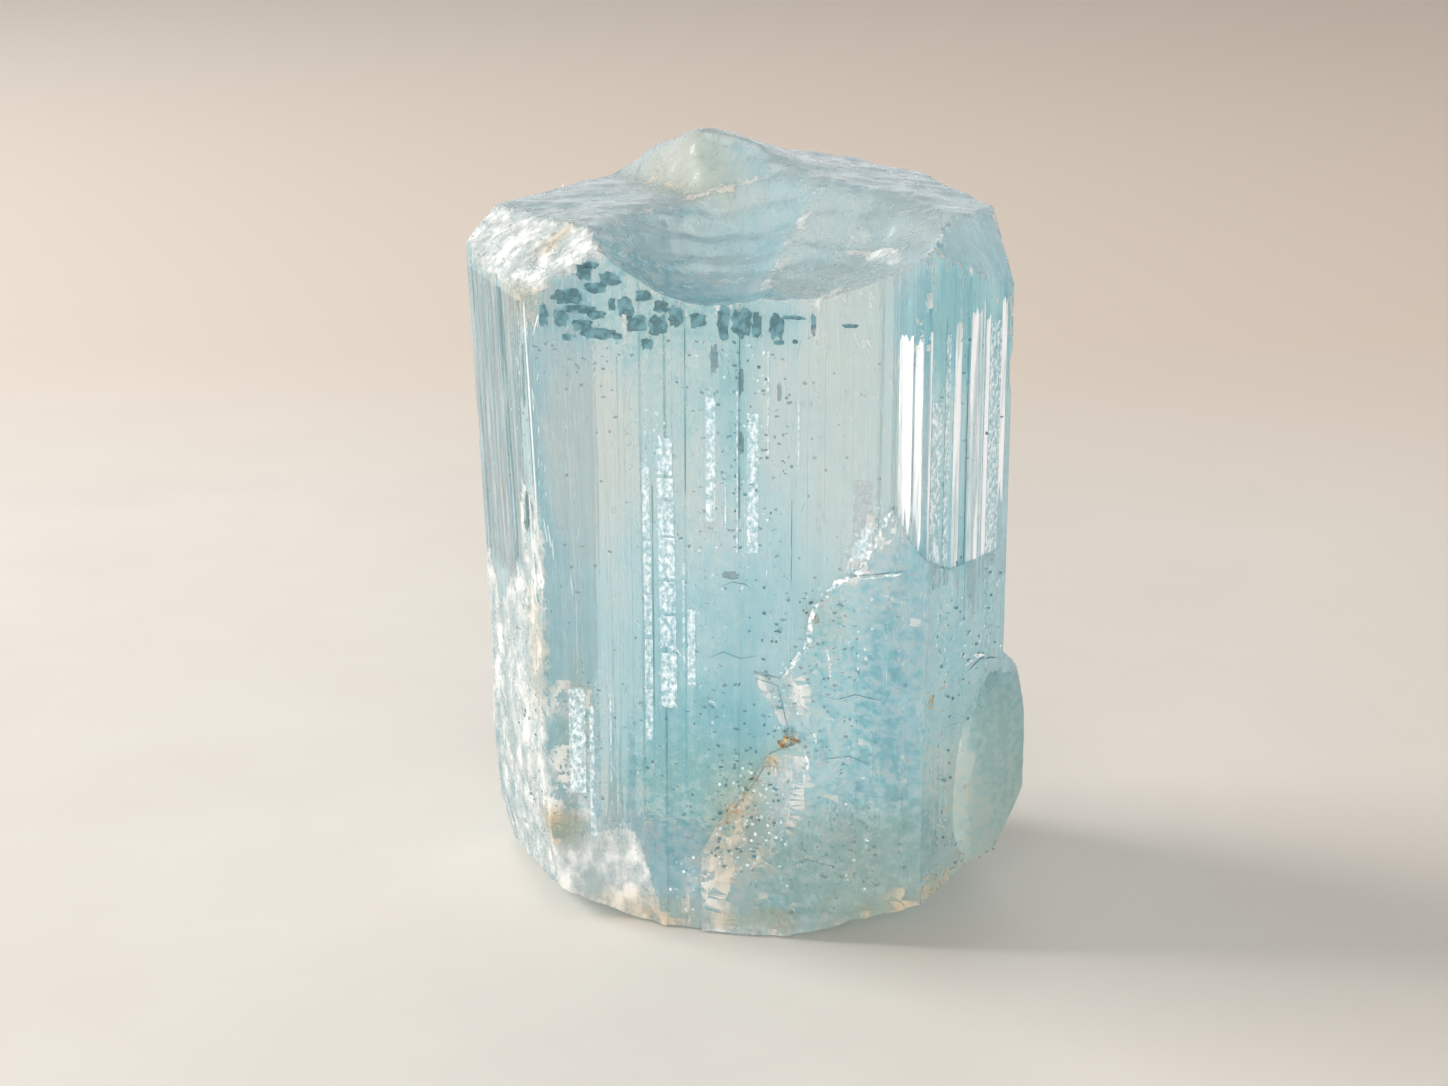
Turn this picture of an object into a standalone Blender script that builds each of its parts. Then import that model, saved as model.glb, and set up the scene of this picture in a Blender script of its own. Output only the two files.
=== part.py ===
"""A raw aquamarine crystal: a six-sided beryl prism with a broken top and a chipped foot.

The crystal stands on its foot. +Z is the crystal's long axis, -Y is the broad front face,
and the origin is the middle of the foot. Sizes are written in millimetres and the finished
solid is in metres.
"""
import math
import random

import bmesh
import bpy
from mathutils import Matrix, Vector, noise

MM = 0.001

# The six-sided section at the top of the prism, counter-clockwise from the front face.
# A hexagonal crystal turns 60 degrees at each edge, so four sides settle the other two.
FRONT_SIDE = 25.7
RIGHT_SIDE = 9.4
RIGHT_REAR_SIDE = 18.4
REAR_SIDE = 19.8
LEFT_REAR_SIDE = FRONT_SIDE + RIGHT_SIDE - REAR_SIDE
LEFT_SIDE = RIGHT_SIDE + RIGHT_REAR_SIDE - LEFT_REAR_SIDE
SIDES = (FRONT_SIDE, RIGHT_SIDE, RIGHT_REAR_SIDE, REAR_SIDE, LEFT_REAR_SIDE, LEFT_SIDE)
FRONT_TURN = math.radians(-10.0)
FRONT_LEFT_EDGE = Vector((-13.76, -9.05))
FOOT_MIDDLE = Vector((0.49, 0.18, 0.0))

# The prism's left third leans in by LEAN below the bend.
LEAN = 0.85
LEAN_FROM_X = -4.0
LEAN_FULL_X = -13.0
BEND_BOTTOM = 22.0
BEND_TOP = 42.0
PRISM_BOTTOM = -2.0
PRISM_TOP = 54.0

# Growth bands: long flat strips, each standing a little lower or higher than the next.
EDGE_BEVEL = 0.22
BAND_WIDTH = (1.1, 3.0)
BAND_DEPTH = 0.16
BAND_GAP = 0.12
BAND_SEED = 11
FRONT_BANDS = (
    (0.22, 2.9, 0.0), (3.0, 5.6, -0.05), (5.7, 7.6, 0.0), (7.75, 8.35, -0.14),
    (8.5, 9.2, -0.03), (9.35, 10.5, -0.17), (10.65, 13.95, -0.02), (14.1, 15.9, -0.15),
    (16.05, 17.6, -0.05), (17.75, 22.7, 0.0), (22.85, 23.8, -0.22), (23.9, 24.8, -0.02),
    (24.9, 25.45, -0.12),
)
RIGHT_BANDS = (
    (0.22, 1.9, -0.02), (2.0, 2.7, -0.14), (2.85, 3.5, -0.03), (3.6, 4.4, -0.18),
    (4.5, 6.1, -0.02), (6.25, 8.7, -0.16),
)

# The broken top: a dome on the left, a higher part behind it with a lump, two bowls that fall
# to the front, a chip on the left, a shoulder on the right and a chip at the front corner.
DOME_HEIGHT = 45.7
DOME_SLOPE = 0.06
DOME_LEVEL_X = -8.0
REAR_HEIGHT = 47.5
REAR_FALL = 0.1
REAR_FALL_FROM_X = 5.0
LUMP_RISE = 2.05
LUMP_AT = (-2.0, 8.6)
LUMP_SPREAD = (3.1, 3.6)
FLANK_FOOT = (-1.6, 0.5)
FLANK_TURN = math.radians(28.4)
FLANK_WIDTH = 3.5
LEFT_BOWL_AT = (-1.5, -13.0)
LEFT_BOWL_HEIGHT = 41.7
LEFT_BOWL_RADII = (8.0, 30.0)
RIGHT_BOWL_AT = (2.5, -13.5)
RIGHT_BOWL_HEIGHT = 42.2
RIGHT_BOWL_RADII = (13.0, 20.0)
BOWL_RIM = 1.2
RIPPLE_LENGTH = 2.6
RIPPLE_DEPTH = 0.13
RIPPLE_START = (2.4, 8.4)
CHIP_AT = (-17.6, -0.8, 42.2)
CHIP_SLOPE = (0.638, 0.332)
CHIP_ROUGHNESS = 1.2
SHOULDER_AT = (17.36, -6.6, 41.8)
SHOULDER_SLOPE = (-1.525, 0.764)
CORNER_CHIP_AT = (8.8, -6.2)
CORNER_CHIP_SIZE = (2.6, 1.7)
CORNER_CHIP_DEPTH = 0.8
TOP_ROUGHNESS = 0.6

# The worn foot, which rests on a flat in its middle.
FOOT_LEFT_AT = (-7.0, -9.0, 0.0)
FOOT_FLAT_RIGHT_X = 3.0
FOOT_FLAT_REAR_Y = 8.0
FOOT_LEFT_SLOPE = (-0.4, -0.25)
FOOT_RIGHT_SLOPE = 0.33
FOOT_REAR_SLOPE = 0.3
FOOT_ROUND_X = 17.0
FOOT_ROUND_SLOPE = 1.4
FOOT_ROUGH_FROM = 1.5

# The cloudy block that stands proud of the lower right of the front face. Its edge is a
# fracture that runs down the face, given from the top as (along the face, height).
BLOCK_RISE = 0.42
FRACTURE = (
    (23.7, 29.5), (22.7, 27.2), (21.6, 24.9), (20.3, 24.5), (18.8, 22.5), (18.5, 20.2),
    (16.7, 17.8), (14.9, 18.1), (17.1, 14.1), (18.2, 13.7), (16.0, 12.6), (14.9, 10.7),
    (13.4, 8.7), (11.5, 5.4), (9.3, 1.6), (9.0, -3.0),
)
BLOCK_RIGHT_TOP = ((25.0, 27.0), (27.0, 24.9), (40.0, 24.7))
FRACTURE_FAR_CORNER = (40.0, -3.0)
BLOCK_BANDS = (
    (-14.0, -0.08), (-11.2, 0.0), (-8.6, -0.1), (-6.4, 0.02), (-3.9, -0.06), (-1.7, 0.0), (0.2, -0.1),
)
BLOCK_RIGHT_CORNER_IN = Vector((-0.5, -0.35))
BLOCK_BACK = (Vector((8.0, 4.0)), Vector((-6.0, 2.0)))
BLOCK_BOTTOM = -1.5
BLOCK_TOP = 31.0
FRACTURE_REACH = (-30.0, 6.0)

# The rounded lump on the right edge, with a ledge on its top.
BULGE_AT = (14.0, -3.2, 9.8)
BULGE_RADII = (5.7, 7.6, 10.4)
BULGE_RISE_ON_FACE = ((1, 0.9), (2, 1.4))
BULGE_FLATTENED = 0.15
BULGE_LEDGE = 17.0
BULGE_LEDGE_SLOPE = 0.18
BULGE_LEDGE_CROWN = 0.03
BULGE_LUMPS = 0.08
BULGE_LUMP_SCALE = 1.6

# Chips on the front and left faces: where, how large and how deep each one is.
CORNER_BREAK_SLOPE = math.tan(math.radians(30.0))
CORNER_BREAK_ROUGHNESS = 0.5
CORNER_BREAK = (
    (0.0, 2.1), (7.0, 1.95), (13.8, 1.8), (17.0, 1.5), (24.6, 1.1), (32.4, 0.3), (44.0, -0.2),
)
STAIR_EDGE = 4.6
STAIR_WALL = 2.5
STAIR_TOP = 16.8
STAIR_TOP_SLOPE = 0.35
STAIR_DEPTH = 0.34
FOOT_PATCH = ((0.0, 6.9), (4.7, 7.6), (6.6, 6.6), (8.1, 4.3), (8.9, 0.8), (10.0, -3.0))
FOOT_PATCH_SLOPE = 0.17
FOOT_PATCH_ROUGHNESS = 0.4
DENTS = (
    ("crumbly wedge", 14.6, 7.6, 2.3, 5.4, 32.0, 1.15),
    ("white triangle", 16.9, 16.0, 1.5, 2.3, -20.0, 0.75),
    ("sparkling break", 21.9, 26.9, 1.3, 2.9, 30.0, 0.85),
    ("stained hole", 17.2, 14.2, 0.8, 0.6, 0.0, 1.0),
    ("silvery foot", 10.6, 2.9, 1.6, 3.2, 12.0, 0.6),
    ("foot nick", 16.2, 1.2, 2.4, 1.4, 10.0, 0.8),
    ("right stain", 25.0, 16.3, 0.6, 1.0, 0.0, 0.5),
)
LEFT_FACE_BREAK_TOP = 21.0
LEFT_FACE_BREAK_SLANT = 10.0
LEFT_FACE_BREAK_SLANT_FROM = (7.5, 5.0)
LEFT_FACE_BREAK_DEPTH = 0.35
LEFT_FACE_BREAK_FADE = 4.0
LEFT_FACE_LEAN = 0.8
LEFT_FACE_FOOT_TOP = 9.0
LEFT_FACE_FOOT_SLOPE = 0.13

CLEAR_OF_FACE = 1.2

# Chips knocked out of the long edges: edge number from the front left one, height, reach
# along the faces, rise along the edge and depth.
EDGE_CHIPS = (
    (1, 41.0, 1.2, 1.9, 0.35), (2, 36.5, 1.2, 2.4, 0.45), (3, 46.5, 4.4, 4.0, 2.3),
    (3, 21.0, 2.4, 4.6, 0.9), (3, 2.0, 5.6, 5.6, 2.6), (4, 38.0, 1.8, 3.4, 0.7),
    (4, 5.0, 4.4, 8.4, 2.0), (5, 30.5, 1.1, 2.2, 0.35), (5, 12.0, 1.5, 3.4, 0.45),
)

EDGE_CHIP_UNEVEN = 0.16
EDGE_CHIP_SCALE = 1.9

# The blocks that break the faces: from, to, size of the facets and how far back each reaches.
WIDE = ((-22.0, -18.0), (22.0, 18.0))
FRONT_SPREAD = ((-3.0, -4.0), (27.0, 46.0))
LEFT_SPREAD = ((-4.0, -4.0), (16.0, 36.0))
TOP_CELL = 1.1
FOOT_CELL = 1.8
FACE_CELL = 0.95
JITTER = 0.27
ABOVE_ALL = 60.0
BELOW_ALL = -9.0
OUT_OF_FACE = 5.0
FLAT_ENOUGH = 0.001

# The unevenness of the breaks: its depth and the scales and shares of its two grains.
ROUGHNESS = 0.22
ROUGH_SCALE = 0.34
FINER = 2.7
BROAD_SHARE = 1.3
FINE_SHARE = 0.7
FINE_OFFSET = 7.0

AQUAMARINE = (0.34, 0.62, 0.68, 1.0)
POLISH = 0.18
BERYL_IOR = 1.577
CLEARNESS = 0.8


def smooth_step(value):
    """Ease from 0 to 1 as the value goes from 0 to 1."""
    value = min(max(value, 0.0), 1.0)
    return value * value * (3.0 - 2.0 * value)


def along_line(points, place):
    """Read a height from a line of (place, height) points."""
    for (start, low), (end, high) in zip(points, points[1:]):
        if place <= end:
            return low + (high - low) * max(place - start, 0.0) / (end - start)
    return points[-1][1]


def rough(x, y, seed):
    """The uneven surface of broken beryl, in millimetres."""
    broad = noise.noise(Vector((x, y, seed)) * ROUGH_SCALE)
    fine = noise.noise(Vector((x, y, seed + FINE_OFFSET)) * ROUGH_SCALE * FINER)
    return ROUGHNESS * (BROAD_SHARE * broad + FINE_SHARE * fine)


# ---- the prism -------------------------------------------------------------------------

def heading_of(side):
    """The direction in which a side runs, counter-clockwise."""
    return FRONT_TURN + side * math.radians(60.0)


def section_corners():
    """The six edges of the prism, seen from above, from the front left one."""
    corner = FRONT_LEFT_EDGE.copy()
    corners = []
    for number, side in enumerate(SIDES):
        corners.append(corner.copy())
        corner += Vector((math.cos(heading_of(number)), math.sin(heading_of(number)))) * side
    return corners


def random_bands(side, randomness):
    """Bands of uneven width that fill a side."""
    bands = []
    start = EDGE_BEVEL
    while start < side - EDGE_BEVEL - BAND_WIDTH[0]:
        end = min(start + randomness.uniform(*BAND_WIDTH), side - EDGE_BEVEL)
        bands.append((start, end, -randomness.uniform(0.0, BAND_DEPTH)))
        start = end + BAND_GAP
    return bands


def band_points(corner, heading, bands):
    """The outline of one side: two points for each band, at the band's own depth."""
    run = Vector((math.cos(heading), math.sin(heading)))
    out = Vector((run.y, -run.x))
    points = []
    for start, end, depth in bands:
        points.append(corner + run * start + out * depth)
        points.append(corner + run * end + out * depth)
    return points


def prism_outline():
    """The banded outline of the whole section."""
    randomness = random.Random(BAND_SEED)
    points = []
    for number, (corner, side) in enumerate(zip(section_corners(), SIDES)):
        if number == 0:
            bands = FRONT_BANDS
        elif number == 1:
            bands = RIGHT_BANDS
        else:
            bands = random_bands(side, randomness)
        points += band_points(corner, heading_of(number), bands)
    return points


def lean_in(x, z):
    """How far the left third stands to the right of its place at the top."""
    share = smooth_step((LEAN_FROM_X - x) / (LEAN_FROM_X - LEAN_FULL_X))
    return LEAN * share * min(max((BEND_TOP - z) / (BEND_TOP - BEND_BOTTOM), 0.0), 1.0)


def column(name, outline, low, high, bends=()):
    """A column with a flat outline, with a ring of edges at each bend."""
    shape = bmesh.new()
    floor = shape.faces.new([shape.verts.new((point.x, point.y, low)) for point in outline])
    grown = bmesh.ops.extrude_face_region(shape, geom=[floor], use_keep_orig=True)
    lifted = [item for item in grown["geom"] if isinstance(item, bmesh.types.BMVert)]
    bmesh.ops.translate(shape, verts=lifted, vec=(0.0, 0.0, high - low))
    for bend in bends:
        everything = shape.verts[:] + shape.edges[:] + shape.faces[:]
        bmesh.ops.bisect_plane(shape, geom=everything, plane_co=(0.0, 0.0, bend), plane_no=(0.0, 0.0, 1.0))
    bmesh.ops.recalc_face_normals(shape, faces=shape.faces[:])
    return finished(name, shape)


def finished(name, shape):
    """Turn an edited mesh into an object of the cutters' collection."""
    mesh = bpy.data.meshes.new(name)
    shape.to_mesh(mesh)
    shape.free()
    made = bpy.data.objects.new(name, mesh)
    cutters.objects.link(made)
    made.hide_render = True
    made.display_type = "WIRE"
    return made


def make_prism():
    """The whole column of the crystal before anything broke off."""
    prism = column("prism", prism_outline(), PRISM_BOTTOM, PRISM_TOP, (BEND_BOTTOM, BEND_TOP))
    for vert in prism.data.vertices:
        vert.co.x += lean_in(vert.co.x, vert.co.z)
    return prism


# ---- surfaces of the breaks ------------------------------------------------------------

def bowl(x, y, centre, height, radii):
    """A shell-shaped hollow with ripples, lowest at its centre."""
    across = x - centre[0]
    back = y - centre[1]
    distance = math.hypot(across, back)
    start, full = RIPPLE_START
    ripple = RIPPLE_DEPTH * math.sin(2.0 * math.pi * distance / RIPPLE_LENGTH)
    ripple *= smooth_step((distance - start) / (full - start))
    return height + across ** 2 / (2.0 * radii[0]) + back ** 2 / (2.0 * radii[1]) + ripple


def sloping(x, y, at, slope):
    """A plane through a point, with its slopes along x and y."""
    return at[2] + slope[0] * (x - at[0]) + slope[1] * (y - at[1])


def rounded_lower(first, second, rounding):
    """The lower of two heights, with the edge between them rounded off."""
    near = max(rounding - abs(first - second), 0.0) / rounding
    return min(first, second) - near ** 2 * rounding / 4.0


def unbroken_top(x, y):
    """The dome on the left, rising over a flank to the higher part behind it and its lump."""
    lump = math.exp(-((x - LUMP_AT[0]) / LUMP_SPREAD[0]) ** 2 / 2.0
                    - ((y - LUMP_AT[1]) / LUMP_SPREAD[1]) ** 2 / 2.0)
    rear = REAR_HEIGHT + LUMP_RISE * lump - REAR_FALL * max(x - REAR_FALL_FROM_X, 0.0)
    dome = DOME_HEIGHT + DOME_SLOPE * (x - DOME_LEVEL_X)
    past_flank = (x - FLANK_FOOT[0]) * math.cos(FLANK_TURN) + (y - FLANK_FOOT[1]) * math.sin(FLANK_TURN)
    return dome + (rear - dome) * smooth_step(past_flank / FLANK_WIDTH)


def top_height(x, y):
    """The height of the broken top."""
    bowls = min(bowl(x, y, LEFT_BOWL_AT, LEFT_BOWL_HEIGHT, LEFT_BOWL_RADII),
                bowl(x, y, RIGHT_BOWL_AT, RIGHT_BOWL_HEIGHT, RIGHT_BOWL_RADII))
    chip = sloping(x, y, CHIP_AT, CHIP_SLOPE) + CHIP_ROUGHNESS * rough(x, y, 3.0)
    shoulder = sloping(x, y, SHOULDER_AT, SHOULDER_SLOPE)
    height = min(rounded_lower(unbroken_top(x, y), bowls, BOWL_RIM), chip, shoulder)
    reach = math.hypot((x - CORNER_CHIP_AT[0]) / CORNER_CHIP_SIZE[0],
                       (y - CORNER_CHIP_AT[1]) / CORNER_CHIP_SIZE[1])
    return height - CORNER_CHIP_DEPTH * max(1.0 - reach, 0.0) + TOP_ROUGHNESS * rough(x, y, 0.0)


def foot_height(x, y):
    """The height of the foot: zero on the resting flat, rising to the sides and rear."""
    left = sloping(x, y, FOOT_LEFT_AT, FOOT_LEFT_SLOPE)
    right = FOOT_RIGHT_SLOPE * (x - FOOT_FLAT_RIGHT_X) + FOOT_ROUND_SLOPE * max(x - FOOT_ROUND_X, 0.0)
    rear = FOOT_REAR_SLOPE * (y - FOOT_FLAT_REAR_Y)
    rise = max(left, right, rear)
    return max(rise + rough(x, y, 20.0) * smooth_step(rise / FOOT_ROUGH_FROM), 0.0)


def front_surface(u, v):
    """How far the broken front stands out from the front face, which is at zero."""
    corner = CORNER_BREAK_SLOPE * (u - along_line(CORNER_BREAK, v))
    corner += CORNER_BREAK_ROUGHNESS * rough(u, v, 31.0)
    stair = max(-STAIR_DEPTH, STAIR_WALL * (u - STAIR_EDGE), STAIR_TOP_SLOPE * (v - STAIR_TOP))
    patch = FOOT_PATCH_SLOPE * (v - along_line(FOOT_PATCH, u)) + FOOT_PATCH_ROUGHNESS * rough(u, v, 33.0)
    level = min(corner, stair, patch, CLEAR_OF_FACE)
    for _, centre_u, centre_v, half_u, half_v, turn, depth in DENTS:
        angle = math.radians(turn)
        across = (u - centre_u) * math.cos(angle) - (v - centre_v) * math.sin(angle)
        up = (u - centre_u) * math.sin(angle) + (v - centre_v) * math.cos(angle)
        reach = math.hypot(across / half_u, up / half_v)
        level = min(level, BLOCK_RISE + depth * (reach - 1.0) + rough(u, v, 35.0))
    return level


def left_surface(u, v):
    """How far the broken left face stands out from the upright one, which leans in lower down."""
    leant = LEFT_FACE_LEAN * min(max((BEND_TOP - v) / (BEND_TOP - BEND_BOTTOM), 0.0), 1.0)
    slant_from, slant_over = LEFT_FACE_BREAK_SLANT_FROM
    top = LEFT_FACE_BREAK_TOP + LEFT_FACE_BREAK_SLANT * smooth_step((u - slant_from) / slant_over)
    face = max(LEFT_FACE_BREAK_DEPTH * (v - top) / LEFT_FACE_BREAK_FADE, -LEFT_FACE_BREAK_DEPTH)
    foot = LEFT_FACE_FOOT_SLOPE * (v - LEFT_FACE_FOOT_TOP) - LEFT_FACE_BREAK_DEPTH
    return min(min(face + rough(u, v, 41.0), foot + rough(u, v, 43.0)) - leant, CLEAR_OF_FACE)


def relief_block(name, spread, cell, surface, back, seed):
    """A block with one broken face: a jittered grid, set to the surface and extruded back."""
    randomness = random.Random(seed)
    low, high = spread
    size = (high[0] - low[0], high[1] - low[1])
    counts = [max(2, round(length / cell)) for length in size]
    middle = Matrix.Translation(((low[0] + high[0]) / 2.0, (low[1] + high[1]) / 2.0, 0.0))
    shape = bmesh.new()
    stretch = Matrix.Diagonal((size[0], size[1], 1.0, 1.0))
    bmesh.ops.create_grid(shape, x_segments=counts[0], y_segments=counts[1], size=0.5,
                          matrix=middle @ stretch)
    for vert in shape.verts:
        if not vert.is_boundary:
            vert.co.x += randomness.uniform(-JITTER, JITTER) * cell
            vert.co.y += randomness.uniform(-JITTER, JITTER) * cell
        vert.co.z = surface(vert.co.x, vert.co.y)
    bmesh.ops.triangulate(shape, faces=shape.faces[:])
    grown = bmesh.ops.extrude_face_region(shape, geom=shape.faces[:], use_keep_orig=True)
    for item in grown["geom"]:
        if isinstance(item, bmesh.types.BMVert):
            item.co.z = back
    bmesh.ops.dissolve_limit(shape, angle_limit=FLAT_ENOUGH, verts=shape.verts[:], edges=shape.edges[:])
    bmesh.ops.recalc_face_normals(shape, faces=shape.faces[:])
    return finished(name, shape)


def make_edge_chip(edge, height, reach, rise, depth):
    """A rough egg-shaped cutter that takes a chip out of a long edge."""
    corner = section_corners()[edge]
    heading = heading_of(edge - 2)
    outward = Vector((math.cos(heading), math.sin(heading)))
    middle = corner + outward * (reach - depth)
    shape = bmesh.new()
    bmesh.ops.create_icosphere(shape, subdivisions=2, radius=1.0)
    for vert in shape.verts:
        way = vert.co.copy()
        uneven = 1.0 + EDGE_CHIP_UNEVEN * noise.noise(way * EDGE_CHIP_SCALE + Vector((edge, height, 0.0)))
        vert.co = Vector((middle.x + lean_in(corner.x, height) + reach * uneven * way.x,
                          middle.y + reach * uneven * way.y, height + rise * uneven * way.z))
    return finished(f"edge chip {edge} at {height:.0f}", shape)


def face_frame(number):
    """The frame of a side face: x along the face, y up the crystal and z straight out."""
    corner = section_corners()[number]
    run = Vector((math.cos(heading_of(number)), math.sin(heading_of(number)), 0.0))
    up = Vector((0.0, 0.0, 1.0))
    out = run.cross(up)
    turn = Matrix((run, up, out)).transposed().to_4x4()
    return Matrix.Translation((corner.x, corner.y, 0.0)) @ turn


# ---- what stands proud -----------------------------------------------------------------

def make_block():
    """The cloudy block: a banded slab on the front and right faces, kept below the fracture."""
    front_left, front_right, right = section_corners()[:3]
    run = (front_right - front_left).normalized()
    out = Vector((run.y, -run.x))
    outline = [front_right + run * place + out * (BLOCK_RISE + rise) for place, rise in BLOCK_BANDS]
    outline.append(right + BLOCK_RIGHT_CORNER_IN)
    outline += BLOCK_BACK
    block = column("block", outline, BLOCK_BOTTOM, BLOCK_TOP)
    edge = [Vector(point) for point in FRACTURE + (FRACTURE_FAR_CORNER,) + BLOCK_RIGHT_TOP[::-1]]
    keep = column("block edge", edge, *FRACTURE_REACH)
    keep.matrix_world = face_frame(0)
    combine(block, keep, "INTERSECT")
    return block


def make_bulge():
    """The rounded lump low on the right edge, with its flat ledge."""
    shape = bmesh.new()
    bmesh.ops.create_icosphere(shape, subdivisions=3, radius=1.0)
    for vert in shape.verts:
        way = vert.co.copy()
        lumpy = 1.0 + BULGE_LUMPS * noise.noise(way * BULGE_LUMP_SCALE + Vector((5.0, 0.0, 0.0)))
        place = Vector([centre + radius * part * lumpy
                        for centre, radius, part in zip(BULGE_AT, BULGE_RADII, way)])
        for number, rise in BULGE_RISE_ON_FACE:
            local = face_frame(number).inverted() @ place
            local.z = min(local.z, rise + BULGE_FLATTENED * (local.z - rise))
            place = face_frame(number) @ local
        ledge = BULGE_LEDGE + BULGE_LEDGE_SLOPE * (BULGE_AT[0] - place.x)
        place.z = min(place.z, ledge + BULGE_LEDGE_CROWN * (place.z - ledge))
        vert.co = place
    bmesh.ops.recalc_face_normals(shape, faces=shape.faces[:])
    return finished("bulge", shape)


# ---- putting the crystal together ------------------------------------------------------

def combine(target, tool, operation):
    """Join a tool to the target, cut it away, or keep what they share."""
    step = target.modifiers.new(tool.name, "BOOLEAN")
    step.operation = operation
    step.solver = "EXACT"
    step.object = tool


def make_crystal():
    """The crystal as one solid, with its cutters left on it as live Booleans."""
    crystal = make_prism()
    crystal.name = "aquamarine_crystal"
    cutters.objects.unlink(crystal)
    parts.objects.link(crystal)
    crystal.hide_render = False
    crystal.display_type = "TEXTURED"
    combine(crystal, make_block(), "UNION")
    combine(crystal, make_bulge(), "UNION")

    front = relief_block("front breaks", FRONT_SPREAD, FACE_CELL, front_surface, OUT_OF_FACE, 1)
    front.matrix_world = face_frame(0)
    left = relief_block("left breaks", LEFT_SPREAD, FACE_CELL, left_surface, OUT_OF_FACE, 2)
    left.matrix_world = face_frame(5)
    top = relief_block("top breaks", WIDE, TOP_CELL, top_height, ABOVE_ALL, 3)
    foot = relief_block("foot breaks", WIDE, FOOT_CELL, foot_height, BELOW_ALL, 4)
    for breaks in (front, left, top, foot):
        combine(crystal, breaks, "DIFFERENCE")
    for chip in EDGE_CHIPS:
        combine(crystal, make_edge_chip(*chip), "DIFFERENCE")
    return crystal


def set_in_metres():
    """Put the middle of the foot at the origin and turn millimetres into metres."""
    for thing in bpy.data.objects:
        thing.data.transform(Matrix.Scale(MM, 4))
        thing.matrix_world.translation = (thing.matrix_world.translation - FOOT_MIDDLE) * MM


def beryl():
    """Clear pale blue beryl."""
    material = bpy.data.materials.new("aquamarine")
    material.use_nodes = True
    shader = material.node_tree.nodes["Principled BSDF"]
    shader.inputs["Base Color"].default_value = AQUAMARINE
    shader.inputs["Roughness"].default_value = POLISH
    shader.inputs["Metallic"].default_value = 0.0
    shader.inputs["IOR"].default_value = BERYL_IOR
    shader.inputs["Transmission Weight"].default_value = CLEARNESS
    return material


def collection(name):
    """A new collection in the scene."""
    made = bpy.data.collections.new(name)
    bpy.context.scene.collection.children.link(made)
    return made


for leftover in list(bpy.data.objects):
    bpy.data.objects.remove(leftover, do_unlink=True)
parts = collection("aquamarine crystal")
cutters = collection("cutters")
crystal = make_crystal()
crystal.data.materials.append(beryl())
set_in_metres()
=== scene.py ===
import math
import random

import bmesh
import bpy
from mathutils import Matrix, Vector, noise


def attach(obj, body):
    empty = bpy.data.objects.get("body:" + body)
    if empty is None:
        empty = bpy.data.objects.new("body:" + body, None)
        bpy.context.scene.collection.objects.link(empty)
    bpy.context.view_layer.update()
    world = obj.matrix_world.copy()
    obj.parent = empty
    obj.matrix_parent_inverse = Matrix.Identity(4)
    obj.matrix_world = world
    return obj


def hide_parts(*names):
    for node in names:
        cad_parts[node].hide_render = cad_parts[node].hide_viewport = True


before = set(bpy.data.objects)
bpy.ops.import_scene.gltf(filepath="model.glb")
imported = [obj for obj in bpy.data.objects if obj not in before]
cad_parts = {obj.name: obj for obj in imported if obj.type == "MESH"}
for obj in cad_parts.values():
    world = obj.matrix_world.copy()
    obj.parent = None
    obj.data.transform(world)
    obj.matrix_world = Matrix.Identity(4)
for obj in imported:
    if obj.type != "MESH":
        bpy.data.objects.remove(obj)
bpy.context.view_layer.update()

MM = 0.001

# ---- sizes of the crystal, in millimetres ----
# The section at the top of the prism, counter-clockwise from the front left edge.
FRONT_SIDE = 25.7
RIGHT_SIDE = 9.4
RIGHT_REAR_SIDE = 18.4
REAR_SIDE = 19.8
LEFT_REAR_SIDE = FRONT_SIDE + RIGHT_SIDE - REAR_SIDE
LEFT_SIDE = RIGHT_SIDE + RIGHT_REAR_SIDE - LEFT_REAR_SIDE
SIDES = (FRONT_SIDE, RIGHT_SIDE, RIGHT_REAR_SIDE, REAR_SIDE, LEFT_REAR_SIDE, LEFT_SIDE)
FRONT, RIGHT, LEFT = 0, 1, 5
FRONT_TURN = math.radians(-10.0)
FRONT_LEFT_EDGE = Vector((-13.76, -9.05))
FOOT_MIDDLE = Vector((0.49, 0.18, 0.0))

# The left third leans in below the bend.
LEAN = 0.85
LEAN_FROM_X = -4.0
LEAN_FULL_X = -13.0
BEND_BOTTOM = 22.0
BEND_TOP = 42.0
PRISM_BOTTOM = -2.0
PRISM_TOP = 54.0
LEVEL_STEP = 1.0

# Growth bands: (start, end, depth) along a face. Fine lines are scribed within each.
EDGE_BEVEL = 0.22
BAND_WIDTH = (1.1, 3.0)
BAND_DEPTH = 0.16
BAND_GAP = 0.12
LINE_WIDTH = (0.16, 0.62)
LINE_DEPTH = 0.035
LINE_LIP = 0.03
FRONT_BANDS = (
    (0.22, 2.9, 0), (3, 5.6, -0.05), (5.7, 7.6, 0), (7.75, 8.35, -0.14), (8.5, 9.2, -0.03),
    (9.35, 10.5, -0.17), (10.65, 13.95, -0.02), (14.1, 15.9, -0.15), (16.05, 17.6, -0.05), (17.75, 22.7, 0),
    (22.85, 23.8, -0.22), (23.9, 24.8, -0.02), (24.9, 25.45, -0.12),
)
RIGHT_BANDS = (
    (0.22, 1.9, -0.02), (2, 2.7, -0.14), (2.85, 3.5, -0.03), (3.6, 4.4, -0.18), (4.5, 6.1, -0.02),
    (6.25, 8.7, -0.16),
)

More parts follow.
